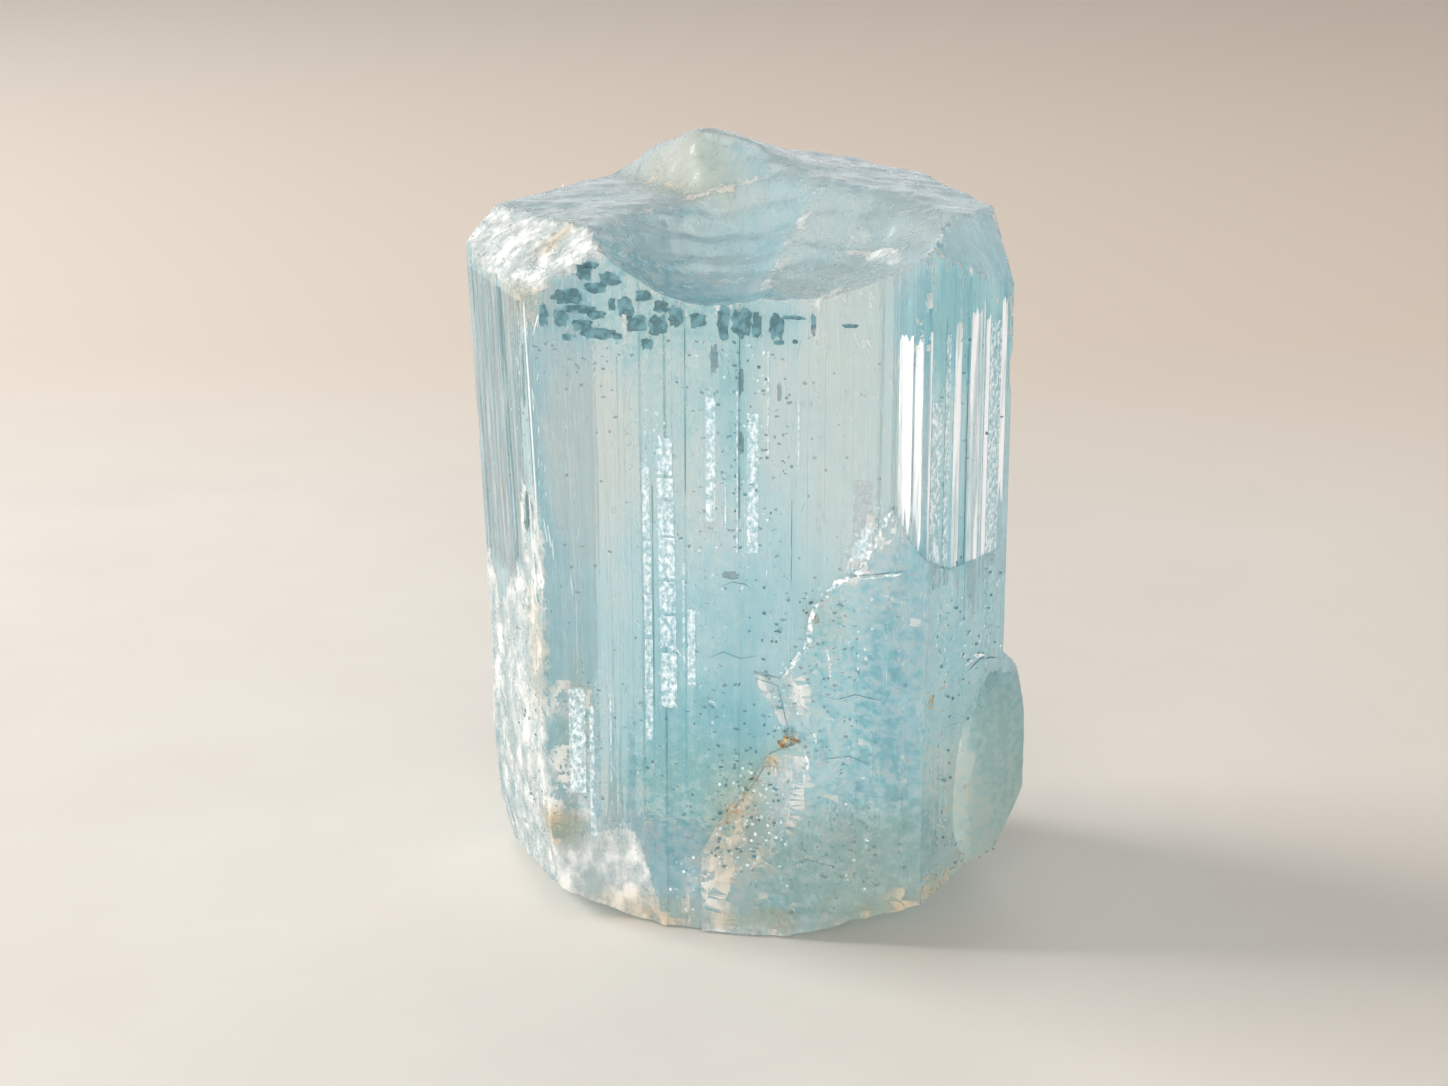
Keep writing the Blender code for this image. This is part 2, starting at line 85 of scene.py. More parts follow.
# The broken top.
DOME_HEIGHT = 45.7
DOME_SLOPE = 0.06
DOME_SLOPE_FROM_X = -8.0
REAR_HEIGHT = 47.5
REAR_FALL = 0.1
REAR_FALL_FROM_X = 5.0
LUMP_RISE = 2.05
LUMP_AT = (-2.0, 8.6)
LUMP_SPREAD = (3.1, 3.6)
FLANK_FOOT = (-1.6, 0.5)
FLANK_TURN = math.radians(28.4)
FLANK_WIDTH = 3.5
LEFT_BOWL_AT = (-1.5, -13.0)
LEFT_BOWL_HEIGHT = 41.7
LEFT_BOWL_RADII = (8.0, 30.0)
RIGHT_BOWL_AT = (2.5, -13.5)
RIGHT_BOWL_HEIGHT = 42.2
RIGHT_BOWL_RADII = (13.0, 20.0)
BOWL_RIM = 1.2
RIPPLE_LENGTH = 2.6
RIPPLE_DEPTH = 0.07
RIPPLE_START = (2.4, 8.4)
CHIP_AT = (-17.6, -0.8, 42.2)
CHIP_SLOPE = (0.638, 0.332)
SHOULDER_AT = (17.36, -6.6, 41.8)
SHOULDER_SLOPE = (-1.525, 0.764)
CORNER_CHIP_AT = (8.8, -6.2)
CORNER_CHIP_SIZE = (2.6, 1.7)
CORNER_CHIP_DEPTH = 0.8
TOP_ROUGHNESS = 0.6

# The worn foot.
FOOT_LEFT_AT = (-7.0, -9.0, 0.0)
FOOT_FLAT_RIGHT_X = 3.0
FOOT_FLAT_REAR_Y = 8.0
FOOT_LEFT_SLOPE = (-0.4, -0.25)
FOOT_RIGHT_SLOPE = 0.33
FOOT_REAR_SLOPE = 0.3
FOOT_ROUND_X = 17.0
FOOT_ROUND_SLOPE = 1.4
FOOT_ROUGH_ABOVE = 1.5

# The cloudy block behind the fracture, given from its top as (along the face, height).
BLOCK_RISE = 0.42
FRACTURE = (
    (23.7, 29.5), (22.7, 27.2), (21.6, 24.9), (20.3, 24.5), (18.8, 22.5), (18.5, 20.2), (16.7, 17.8),
    (14.9, 18.1), (17.1, 14.1), (18.2, 13.7), (16, 12.6), (14.9, 10.7), (13.4, 8.7), (11.5, 5.4), (9.3, 1.6),
    (9, -3),
)
BLOCK_RIGHT_TOP = ((25, 27), (27, 24.9), (40, 24.7))
BLOCK_BANDS = ((-14, -0.08), (-11.2, 0), (-8.6, -0.1), (-6.4, 0.02), (-3.9, -0.06), (-1.7, 0))
BLOCK_TOP = 31.0

# The rounded lump on the right edge, with a ledge on its top.
BULGE_AT = (14.0, -3.2, 9.8)
BULGE_RADII = (5.7, 7.6, 10.4)
BULGE_RISE_ON_FACE = ((1, 0.9), (2, 1.4))
BULGE_FLATTENED = 0.15
BULGE_LEDGE = 17.0
BULGE_LEDGE_SLOPE = 0.18
BULGE_LEDGE_FLATTENED = 0.03

# Chips on the front and left faces.
CORNER_BREAK_SLOPE = math.tan(math.radians(30.0))
CORNER_BREAK = ((0, 2.1), (7, 1.95), (13.8, 1.8), (17, 1.5), (24.6, 1.1), (32.4, 0.3), (44, -0.2))
STAIR_EDGE = 4.6
STAIR_TOP = 16.8
STAIR_DEPTH = 0.34
STAIR_SIDE_SLOPE = 2.5
STAIR_TOP_SLOPE = 0.35
FOOT_PATCH = ((0, 6.9), (4.7, 7.6), (6.6, 6.6), (8.1, 4.3), (8.9, 0.8), (10, -3))
FOOT_PATCH_SLOPE = 0.17
DENTS = (
    ("crumbly wedge", 14.6, 7.6, 2.3, 5.4, 32, 1.15), ("white triangle", 16.9, 16, 1.5, 2.3, -20, 0.75),
    ("sparkling break", 21.9, 26.9, 1.3, 2.9, 30, 0.85), ("stained hole", 17.2, 14.2, 0.8, 0.6, 0, 1),
    ("silvery foot", 10.6, 2.9, 1.6, 3.2, 12, 0.6), ("foot nick", 16.2, 1.2, 2.4, 1.4, 10, 0.8),
    ("right stain", 25, 16.3, 0.6, 1, 0, 0.5),
)
LEFT_FACE_BREAK_TOP = 21.0
LEFT_FACE_BREAK_SLANT = 10.0
LEFT_FACE_SLANT_FROM = 7.5
LEFT_FACE_SLANT_WIDTH = 5.0
LEFT_FACE_BREAK_RISE = 4.0
LEFT_FACE_BREAK_DEPTH = 0.35
LEFT_FACE_LEAN = 0.8
LEFT_FACE_FOOT_TOP = 9.0
LEFT_FACE_FOOT_SLOPE = 0.13
EDGE_CHIPS = (
    (1, 41, 1.2, 1.9, 0.35), (2, 36.5, 1.2, 2.4, 0.45), (3, 46.5, 4.4, 4, 2.3), (3, 21, 2.4, 4.6, 0.9),
    (3, 2, 5.6, 5.6, 2.6), (4, 38, 1.8, 3.4, 0.7), (4, 5, 4.4, 8.4, 2), (5, 30.5, 1.1, 2.2, 0.35),
    (5, 12, 1.5, 3.4, 0.45),
)

# How fine the breaks are modelled.
TOP_CELL = 0.34
FOOT_CELL = 0.5
FACE_CELL = 0.32
ROUGHNESS = 0.22
ROUGH_SCALE = 0.34
CRUMB_DEPTH = 0.07
CRUMB_SCALE = 2.1
CELL_UNEVENNESS = 0.27
MOST_OUT = 1.2
SEAM = 0.0005
CLEAR_OF_TABLE = 0.06


# ---- small helpers ----

def smooth_step(value):
    """Ease from 0 to 1 as the value goes from 0 to 1."""
    value = min(max(value, 0.0), 1.0)
    return value * value * (3.0 - 2.0 * value)


def along_line(points, place):
    """Read a height from a line of (place, height) points."""
    for (start, low), (end, high) in zip(points, points[1:]):
        if place <= end:
            return low + (high - low) * max(place - start, 0.0) / (end - start)
    return points[-1][1]


def rough(x, y, seed):
    """The uneven surface of broken beryl."""
    broad = noise.noise(Vector((x, y, seed)) * ROUGH_SCALE)
    fine = noise.noise(Vector((x, y, seed + 7.0)) * ROUGH_SCALE * 2.7)
    return ROUGHNESS * (1.3 * broad + 0.7 * fine)


def crumb(x, y, seed):
    """Fine crumbs on the roughest breaks."""
    return CRUMB_DEPTH * noise.noise(Vector((x, y, seed)) * CRUMB_SCALE)


def toward(heading):
    """A step of one along a heading in the plan."""
    return Vector((math.cos(heading), math.sin(heading)))


def add_object(name, data):
    """Put a new object into the scene."""
    made = bpy.data.objects.new(name, data)
    bpy.context.scene.collection.objects.link(made)
    return made


def edited(piece):
    """A copy of a piece's mesh to edit."""
    shape = bmesh.new()
    shape.from_mesh(piece.data)
    return shape


def store(shape, mesh):
    """Write an edited shape to a mesh."""
    shape.to_mesh(mesh)
    shape.free()


def to_object(name, shape):
    """Turn an edited shape into an object."""
    mesh = bpy.data.meshes.new(name)
    store(shape, mesh)
    return add_object(name, mesh)


def worked_out(piece):
    """The mesh that a piece's modifiers make of it."""
    bpy.context.view_layer.update()
    evaluated = piece.evaluated_get(bpy.context.evaluated_depsgraph_get())
    return bpy.data.meshes.new_from_object(evaluated)


# ---- the shape of the crystal ----

def heading_of(side):
    """The direction in which a side runs, counter-clockwise."""
    return FRONT_TURN + side * math.radians(60.0)


def section_corners():
    """The six edges of the prism, seen from above."""
    corner = FRONT_LEFT_EDGE.copy()
    corners = []
    for number, side in enumerate(SIDES):
        corners.append(corner.copy())
        corner += toward(heading_of(number)) * side
    return corners


CORNERS = section_corners()


def face_frame(number):
    """The frame of a side face: x along the face, y up the crystal and z straight out."""
    run = toward(heading_of(number)).to_3d()
    up = Vector((0.0, 0.0, 1.0))
    turn = Matrix((run, up, run.cross(up))).transposed().to_4x4()
    return Matrix.Translation(CORNERS[number].to_3d()) @ turn


FACES = [face_frame(number) for number in range(len(SIDES))]
TO_FACES = [face.inverted() for face in FACES]


def random_bands(side, randomness):
    """Bands of uneven width that fill a side."""
    bands = []
    start = EDGE_BEVEL
    while start < side - EDGE_BEVEL - BAND_WIDTH[0]:
        end = min(start + randomness.uniform(*BAND_WIDTH), side - EDGE_BEVEL)
        bands.append((start, end, -randomness.uniform(0.0, BAND_DEPTH)))
        start = end + BAND_GAP
    return bands


def scribed(bands, randomness):
    """Fine growth lines within each band, as (place, depth) points."""
    points = []
    for start, end, depth in bands:
        place = start
        while place < end - LINE_WIDTH[0]:
            stop = min(place + randomness.uniform(*LINE_WIDTH), end)
            level = depth - randomness.uniform(0.0, LINE_DEPTH)
            points += [(place, level), (stop - LINE_LIP, level)]
            place = stop
        points.append((end, depth))
    return points


def prism_outline():
    """The banded and scribed outline of the whole section."""
    band_randomness = random.Random(11)
    line_randomness = random.Random(23)
    points = []
    for number, (corner, side) in enumerate(zip(CORNERS, SIDES)):
        bands = {FRONT: FRONT_BANDS, RIGHT: RIGHT_BANDS}.get(number) or random_bands(side, band_randomness)
        run = toward(heading_of(number))
        out = Vector((run.y, -run.x))
        points += [corner + run * place + out * depth for place, depth in scribed(bands, line_randomness)]
    return points


def below_bend(z):
    """How far a height is below the bend, from 0 at its top to 1 at its bottom."""
    return min(max((BEND_TOP - z) / (BEND_TOP - BEND_BOTTOM), 0.0), 1.0)


def lean_in(x, z):
    """How far the left third stands to the right of its place at the top."""
    share = smooth_step((LEAN_FROM_X - x) / (LEAN_FROM_X - LEAN_FULL_X))
    return LEAN * share * below_bend(z)


def column(name, outline, low, high, step):
    """A column with a flat outline and rings of points up its sides."""
    rings = max(1, round((high - low) / step))
    shape = bmesh.new()
    levels = []
    for number in range(rings + 1):
        z = low + (high - low) * number / rings
        levels.append([shape.verts.new((point.x + lean_in(point.x, z), point.y, z)) for point in outline])
    for below, above in zip(levels, levels[1:]):
        for number in range(len(outline)):
            after = (number + 1) % len(outline)
            shape.faces.new((below[number], below[after], above[after], above[number]))
    shape.faces.new(list(reversed(levels[0])))
    shape.faces.new(levels[-1])
    return to_object(name, shape)


def bowl(x, y, centre, height, radii):
    """A shell-shaped hollow with ripples, lowest at its centre."""
    across = x - centre[0]
    back = y - centre[1]
    distance = math.hypot(across, back)
    start, full = RIPPLE_START
    ripple = RIPPLE_DEPTH * math.sin(2.0 * math.pi * distance / RIPPLE_LENGTH)
    ripple *= smooth_step((distance - start) / (full - start))
    return height + across ** 2 / (2.0 * radii[0]) + back ** 2 / (2.0 * radii[1]) + ripple


def sloping(x, y, at, slope):
    """A plane through a point, with its slopes along x and y."""
    return at[2] + slope[0] * (x - at[0]) + slope[1] * (y - at[1])


def rounded_lower(first, second, rounding):
    """The lower of two heights, with the edge between them rounded off."""
    near = max(rounding - abs(first - second), 0.0) / rounding
    return min(first, second) - near ** 2 * rounding / 4.0


def top_sheets(x, y):
    """The heights of the sheets that the broken top is made of, by name."""
    lump = math.exp(-((x - LUMP_AT[0]) / LUMP_SPREAD[0]) ** 2 / 2.0
                    - ((y - LUMP_AT[1]) / LUMP_SPREAD[1]) ** 2 / 2.0)
    rear = REAR_HEIGHT + LUMP_RISE * lump - REAR_FALL * max(x - REAR_FALL_FROM_X, 0.0)
    dome = DOME_HEIGHT + DOME_SLOPE * (x - DOME_SLOPE_FROM_X)
    past_flank = (x - FLANK_FOOT[0]) * math.cos(FLANK_TURN) + (y - FLANK_FOOT[1]) * math.sin(FLANK_TURN)
    return {
        "body": dome + (rear - dome) * smooth_step(past_flank / FLANK_WIDTH),
        "left bowl": bowl(x, y, LEFT_BOWL_AT, LEFT_BOWL_HEIGHT, LEFT_BOWL_RADII),
        "right bowl": bowl(x, y, RIGHT_BOWL_AT, RIGHT_BOWL_HEIGHT, RIGHT_BOWL_RADII),
        "chip": sloping(x, y, CHIP_AT, CHIP_SLOPE) + 1.2 * rough(x, y, 3.0) + 1.5 * crumb(x, y, 5.0),
        "shoulder": sloping(x, y, SHOULDER_AT, SHOULDER_SLOPE),
    }


def top_height(x, y):
    """The height of the broken top."""
    sheets = top_sheets(x, y)
    bowls = min(sheets["left bowl"], sheets["right bowl"])
    height = min(rounded_lower(sheets["body"], bowls, BOWL_RIM), sheets["chip"], sheets["shoulder"])
    reach = math.hypot((x - CORNER_CHIP_AT[0]) / CORNER_CHIP_SIZE[0],
                       (y - CORNER_CHIP_AT[1]) / CORNER_CHIP_SIZE[1])
    return height - CORNER_CHIP_DEPTH * max(1.0 - reach, 0.0) + TOP_ROUGHNESS * rough(x, y, 0.0)


def foot_height(x, y):
    """The height of the foot: zero on the resting flat, rising to the sides and rear."""
    left = sloping(x, y, FOOT_LEFT_AT, FOOT_LEFT_SLOPE)
    right = FOOT_RIGHT_SLOPE * (x - FOOT_FLAT_RIGHT_X) + FOOT_ROUND_SLOPE * max(x - FOOT_ROUND_X, 0.0)
    rear = FOOT_REAR_SLOPE * (y - FOOT_FLAT_REAR_Y)
    rise = max(left, right, rear)
    uneven = rough(x, y, 20.0) + crumb(x, y, 22.0)
    return max(rise + uneven * smooth_step(rise / FOOT_ROUGH_ABOVE), 0.0)


def front_parts(u, v):
    """How far each break of the front stands out from the front face, by name."""
    parts = {
        "corner": CORNER_BREAK_SLOPE * (u - along_line(CORNER_BREAK, v)) + 0.5 * rough(u, v, 31.0),
        "stair": max(-STAIR_DEPTH, STAIR_SIDE_SLOPE * (u - STAIR_EDGE), STAIR_TOP_SLOPE * (v - STAIR_TOP)),
        "patch": FOOT_PATCH_SLOPE * (v - along_line(FOOT_PATCH, u)) + 0.4 * rough(u, v, 33.0),
    }
    for name, centre_u, centre_v, half_u, half_v, turn, depth in DENTS:
        angle = math.radians(turn)
        across = (u - centre_u) * math.cos(angle) - (v - centre_v) * math.sin(angle)
        up = (u - centre_u) * math.sin(angle) + (v - centre_v) * math.cos(angle)
        reach = math.hypot(across / half_u, up / half_v)
        parts[name] = BLOCK_RISE + depth * (reach - 1.0) + rough(u, v, 35.0) + crumb(u, v, 36.0)
    return parts


def front_surface(u, v):
    """How far the broken front stands out from the front face."""
    return min(MOST_OUT, *front_parts(u, v).values())


def left_surface(u, v):
    """How far the broken left face stands out from the unbroken one, before that leans in."""
    slant = smooth_step((u - LEFT_FACE_SLANT_FROM) / LEFT_FACE_SLANT_WIDTH)
    top = LEFT_FACE_BREAK_TOP + LEFT_FACE_BREAK_SLANT * slant
    face = LEFT_FACE_BREAK_DEPTH * (v - top) / LEFT_FACE_BREAK_RISE
    face = max(face, -LEFT_FACE_BREAK_DEPTH) + rough(u, v, 41.0) + crumb(u, v, 42.0)
    foot = LEFT_FACE_FOOT_SLOPE * (v - LEFT_FACE_FOOT_TOP) - LEFT_FACE_BREAK_DEPTH
    return min(min(face, foot + rough(u, v, 43.0)) - LEFT_FACE_LEAN * below_bend(v), MOST_OUT)


def relief_block(name, low, high, cell, surface, back, seed):
    """A block with one broken face, which cuts away all that lies on its side of that face."""
    randomness = random.Random(seed)
    size = (high[0] - low[0], high[1] - low[1])
    counts = [max(2, round(length / cell)) for length in size]
    middle = Matrix.Translation(((low[0] + high[0]) / 2.0, (low[1] + high[1]) / 2.0, 0.0))
    stretch = Matrix.Diagonal((size[0], size[1], 1.0, 1.0))
    shape = bmesh.new()
    bmesh.ops.create_grid(shape, x_segments=counts[0], y_segments=counts[1], size=0.5,
                          matrix=middle @ stretch)
    for vert in shape.verts:
        if not vert.is_boundary:
            vert.co.x += randomness.uniform(-CELL_UNEVENNESS, CELL_UNEVENNESS) * cell
            vert.co.y += randomness.uniform(-CELL_UNEVENNESS, CELL_UNEVENNESS) * cell
        vert.co.z = surface(vert.co.x, vert.co.y)
    bmesh.ops.triangulate(shape, faces=shape.faces[:])
    rim = [edge for edge in shape.edges if edge.is_boundary]
    grown = bmesh.ops.extrude_edge_only(shape, edges=rim)["geom"]
    for item in grown:
        if isinstance(item, bmesh.types.BMVert):
            item.co.z = back
    far_rim = [item for item in grown if isinstance(item, bmesh.types.BMEdge)]
    bmesh.ops.contextual_create(shape, geom=far_rim)
    bmesh.ops.recalc_face_normals(shape, faces=shape.faces[:])
    return to_object(name, shape)


def make_block():
    """The cloudy block: a slab on the front and right faces, kept below the fracture."""
    front_left, front_right, right = CORNERS[:3]
    run = (front_right - front_left).normalized()
    out = Vector((run.y, -run.x))
    outline = [front_right + run * place + out * (BLOCK_RISE + rise) for place, rise in BLOCK_BANDS]
    # Round the edge, along the right face and back through the inside of the prism.
    outline += [front_right + run * 0.2 + out * (BLOCK_RISE - 0.1), right + Vector((-0.5, -0.35)),
                Vector((8.0, 4.0)), Vector((-6.0, 2.0))]
    block = column("block", outline, PRISM_BOTTOM + 0.5, BLOCK_TOP, LEVEL_STEP)
    edge = [Vector(point) for point in FRACTURE + ((40.0, -3.0),) + tuple(reversed(BLOCK_RIGHT_TOP))]
    keep = column("block edge", edge, -30.0, 6.0, 36.0)
    keep.matrix_world = FACES[FRONT]
    combine(block, [keep], "INTERSECT")
    return block


def make_bulge():
    """The rounded lump low on the right edge, with its flat ledge."""
    shape = bmesh.new()
    bmesh.ops.create_icosphere(shape, subdivisions=5, radius=1.0)
    for vert in shape.verts:
        way = vert.co.copy()
        lumpy = 1.0 + 0.08 * noise.noise(way * 1.6 + Vector((5.0, 0.0, 0.0))) \
            + 0.012 * noise.noise(way * 7.0)
        place = Vector([centre + radius * part * lumpy
                        for centre, radius, part in zip(BULGE_AT, BULGE_RADII, way)])
        for number, rise in BULGE_RISE_ON_FACE:
            local = TO_FACES[number] @ place
            local.z = min(local.z, rise + BULGE_FLATTENED * (local.z - rise))
            place = FACES[number] @ local
        ledge = BULGE_LEDGE + BULGE_LEDGE_SLOPE * (BULGE_AT[0] - place.x)
        place.z = min(place.z, ledge + BULGE_LEDGE_FLATTENED * (place.z - ledge))
        vert.co = place
    bmesh.ops.recalc_face_normals(shape, faces=shape.faces[:])
    return to_object("bulge", shape)


def make_edge_chip(edge, height, reach, rise, depth):
    """A rough egg-shaped cutter that takes a chip out of a long edge."""
    corner = CORNERS[edge]
    middle = corner + toward(heading_of(edge) - math.radians(120.0)) * (reach - depth)
    shape = bmesh.new()
    bmesh.ops.create_icosphere(shape, subdivisions=4, radius=1.0)
    for vert in shape.verts:
        way = vert.co.copy()
        uneven = 1.0 + 0.16 * noise.noise(way * 1.9 + Vector((edge, height, 0.0))) \
            + 0.02 * noise.noise(way * 8.0)
        vert.co = Vector((middle.x + lean_in(corner.x, height) + reach * uneven * way.x,
                          middle.y + reach * uneven * way.y, height + rise * uneven * way.z))
    return to_object(f"edge chip {edge} {height:.0f}", shape)


def combine(target, tools, operation):
    """Join tools to the target, cut them away, or keep what they share, and apply it."""
    for tool in tools:
        step = target.modifiers.new(tool.name, "BOOLEAN")
        step.operation = operation
        step.solver = "EXACT"
        step.object = tool
    target.data = worked_out(target)
    target.modifiers.clear()
    for tool in tools:
        bpy.data.objects.remove(tool, do_unlink=True)


def make_crystal_shape():
    """The whole crystal, in millimetres and in the section's own frame."""
    crystal = column("crystal", prism_outline(), PRISM_BOTTOM, PRISM_TOP, LEVEL_STEP)
    combine(crystal, [make_block(), make_bulge()], "UNION")
    # Each block reaches past the crystal on every side, and its back lies well outside.
    front = relief_block("front breaks", (-3.0, -4.0), (27.0, 46.0), FACE_CELL, front_surface, 5.0, 1)
    front.matrix_world = FACES[FRONT]
    left = relief_block("left breaks", (-4.0, -4.0), (16.0, 36.0), FACE_CELL, left_surface, 5.0, 2)
    left.matrix_world = FACES[LEFT]
    top = relief_block("top breaks", (-22.0, -18.0), (22.0, 18.0), TOP_CELL, top_height, 60.0, 3)
    foot = relief_block("foot breaks", (-22.0, -18.0), (22.0, 18.0), FOOT_CELL, foot_height, -9.0, 4)
    chips = [make_edge_chip(*chip) for chip in EDGE_CHIPS]
    combine(crystal, [front, left, top, foot] + chips, "DIFFERENCE")
    shape = edited(crystal)
    bmesh.ops.remove_doubles(shape, verts=shape.verts, dist=SEAM)
    bmesh.ops.holes_fill(shape, edges=[edge for edge in shape.edges if edge.is_boundary])
    store(shape, crystal.data)
    return crystal


# ---- where each kind of surface lies ----

TOUCH = 0.06
FACE_REACH = 2.5
STAIN_REACH = 4.0
# Sharp convex edges high on the top and low at the foot are whitened: bruised edges with a painted glint
# along them.
BRUISE_AND_GLINT_ANGLE = math.radians(34.0)
BRUISE_AND_GLINT_ABOVE = 38.0
BRUISE_AND_GLINT_BELOW = 5.0
BRUISE_AND_GLINT_WHITE = 0.62
SPREAD_ROUNDS = 3

# For each kind of surface: how hazy it is, how white, its tone from beige (-1) to teal (1), and
# how much of it is broken up into a fine mosaic.
SURFACES = {
    "top body": (0.24, 0, -0.4, 0.2), "top left bowl": (0.2, 0.04, 0.05, 0.1),
    "top right bowl": (0.3, 0.1, -0.45, 0.05), "top chip": (0.8, 0.8, -0.9, 0),
    "top shoulder": (0.2, 0, 0, 0.1), "foot": (0.7, 0.36, 0.2, 0.5), "resting flat": (0.9, 0.5, -0.3, 0.5),
    "left": (0.6, 0.66, -0.2, 0.4), "front corner": (0.6, 0.78, -0.2, 0.3), "front stair": (0.3, 0.4, 0, 0.5),
    "front patch": (0.7, 0.8, -0.5, 0.4), "front crumbly wedge": (0.7, 0.5, -0.7, 0.4),
    "front white triangle": (0.5, 0.6, -0.3, 0.4), "front sparkling break": (0.4, 0.46, 0, 0.6),
    "front stained hole": (0.7, 0.4, 0.5, 0.5), "front silvery foot": (0.5, 0.42, 0.1, 0.8),
    "front foot nick": (0.6, 0.34, 0.2, 0.8), "front right stain": (0.5, 0.3, 0, 0.5),
    "bulge": (0.5, 0, 0.35, 0.9), "block": (0.26, 0, 0.1, 0.9), "prism": (0.12, 0, 0.05, 0.04),
    "rear": (0.36, 0, 0, 0.2),
}

# Deeper and paler places on a face: (face, along, up, half width, half height, tone).
TONES = (
    (0, 11.5, 12.5, 4.6, 5, 1), (0, 9, 18.5, 4, 5, 0.5), (0, 12.5, 21, 3.6, 4, 0.45),
    (0, 3.2, 20, 2.4, 6, 0.2), (0, 4.4, 31.5, 2.8, 5.6, -0.9), (0, 20.5, 35, 3.4, 9, -0.65),
    (0, 16.8, 35, 1.2, 6, -0.5), (0, 13.6, 35, 1.2, 6, 0.5), (0, 6, 40.6, 5, 2.4, 0.45),
    (0, 14, 40.6, 6, 1.6, 0.5), (0, 1.6, 29, 1.4, 6, 0.35), (1, 3, 41, 3.6, 4.4, 1),
    (1, 8.6, 39.5, 1.6, 4, 0.8), (1, 2, 26, 2.2, 7, 0.5), (0, 22, 16, 4, 6, 0.35), (0, 20, 5, 5, 3.4, 1),
    # The rows on face 5 deepen the left face's colour as painted shade.
    (1, 4, 8, 5, 6, -0.5), (0, 8.5, 4.4, 2, 3, 0.5), (5, 12, 34, 2.4, 9, 0.3), (0, 21.5, 8.5, 3.2, 3.6, 0.9),
    (0, 24.6, 30, 1, 9, -0.4), (5, 8, 34, 4, 9, 0.3), (0, 22.4, 14, 3, 3, 0.5), (0, 20, 12, 4, 3, 0.5),
    (0, 24, 7, 2.6, 4, 0.7), (1, 7, 11, 3, 6, 0.5), (2, 8, 32, 5, 9, -0.7), (2, 12, 10, 6, 8, 0.7),
    (3, 6, 14, 6, 9, 0.7), (3, 13, 34, 5, 9, -0.8), (4, 6, 30, 5, 10, -0.7), (4, 8, 8, 6, 6, 0.6),
)

# Places on the faces broken up into a mosaic, given the same way.
MOSAICS = (
    (0, 11, 8.5, 4.4, 6, 0.9), (0, 7, 39.6, 6, 2.6, 0.5), (0, 12, 26, 4.6, 10, 0.3), (0, 3, 12, 2.4, 6, 0.4),
    (1, 4, 32, 4, 10, 0.2), (0, 20, 4.6, 6, 4, 1.4),
)

# Iron stains: (face, along, up, half width, half height, strength).
STAINS = (
    (0, 2.1, 6.4, 1.6, 1.3, 0.7), (0, 18.8, 22, 0.6, 0.4, 0.9), (0, 17.2, 13.4, 0.9, 0.5, 1),
    (0, 16.1, 12.1, 0.6, 0.6, 0.8), (0, 14.9, 10.2, 0.5, 0.9, 0.7), (0, 13.6, 8.4, 0.7, 0.5, 0.9),
    (0, 16, 1, 2.4, 0.9, 0.7), (0, 20.2, 1.2, 1.5, 0.8, 0.6), (1, 0.7, 16.5, 0.5, 1, 0.7),
    (1, 5.7, 16.6, 0.9, 1.4, 0.5), (1, 5, 4.4, 3.4, 3, 0.45), (0, 3.4, 14, 1.2, 5, 0.2),
    (0, 0.6, 41.6, 2, 0.8, 0.5), (1, 8.2, 12, 1, 4, 0.35), (0, 14.2, 6, 2.4, 5, 0.45), (0, 8, 1, 6, 1.2, 0.3),
    (0, 21.6, 5, 5, 4.4, 0.5), (1, 7.5, 9, 4, 8, 0.45), (1, 5.6, 10, 4, 6, 0.3), (0, 0.2, 18, 1.4, 4, 0.3),
    (0, 23.5, 2.4, 2.6, 1.8, 0.7), (1, 3, 3.4, 3, 2.6, 0.6), (1, 6.6, 6, 3, 5, 0.4), (0, 9, 0.6, 3, 0.8, 0.6),
    (3, 12, 4, 6, 3, 0.6), (2, 13, 5, 5, 3, 0.5), (4, 5, 6, 5, 4, 0.5),
)


# Places on the top broken up into a dark mosaic: (x, y, half length, half width, turn, strength).
TOP_MOSAIC = ((-5.4, -8.4, 3.6, 3.2, -20, 1.6), (-7, -5.6, 1.6, 1.4, 0, 1), (0.8, -10.8, 3.4, 1.4, -10, 0.7))

# Stained and shaded places on the top: (x, y, half length, half width, turn, strength).
TOP_STAINS = ((-3.6, 7.6, 5.6, 2.6, -59.0, 0.4), (-11.5, -4.8, 1.6, 0.8, 30.0, 0.6))

# White bruises and painted glints on the top: (x, y, half length, half width, turn, strength).
TOP_BRUISES_AND_GLINTS = (
    (-4.8, 7.2, 5.2, 0.35, -59, 0.5), (-1.6, 3.6, 3.4, 0.3, 4, 0.9), (8.7, -8.1, 2.9, 0.6, -60, 0.9),
    (-5.6, 9.6, 1.4, 0.5, 40, 0.5), (-12.6, 0, 4.4, 0.5, 32, 0.7), (-11.2, -3.4, 3.6, 0.45, 30, 0.7),
    (-9, -8.2, 2.4, 0.35, -80, 0.9), (0.4, 9.4, 1.8, 0.5, 10, 0.55), (4.4, 7.4, 2.6, 0.3, -25, 0.5),
    (-14.9, -4, 3, 0.7, 40, 0.8), (10.6, 3.4, 2, 0.4, -20, 0.5), (2.4, -7.4, 4.4, 0.22, 76, 0.7),
    (4.4, -1.2, 2.6, 0.25, 66, 0.7), (-2, -5.8, 5.4, 0.16, -52, 0.5), (-0.4, -3.2, 4.4, 0.12, -56, 0.4),
    (6.6, 1.6, 3.4, 0.4, -28, 0.6), (-7.6, -4.6, 1.9, 0.2, 70, 0.6), (-5.4, 0.6, 3.2, 0.22, 50, 0.5),
    (12.6, 1.6, 2.6, 0.35, -70, 0.5), (9.4, 7.6, 3, 0.4, -24, 0.45),
)


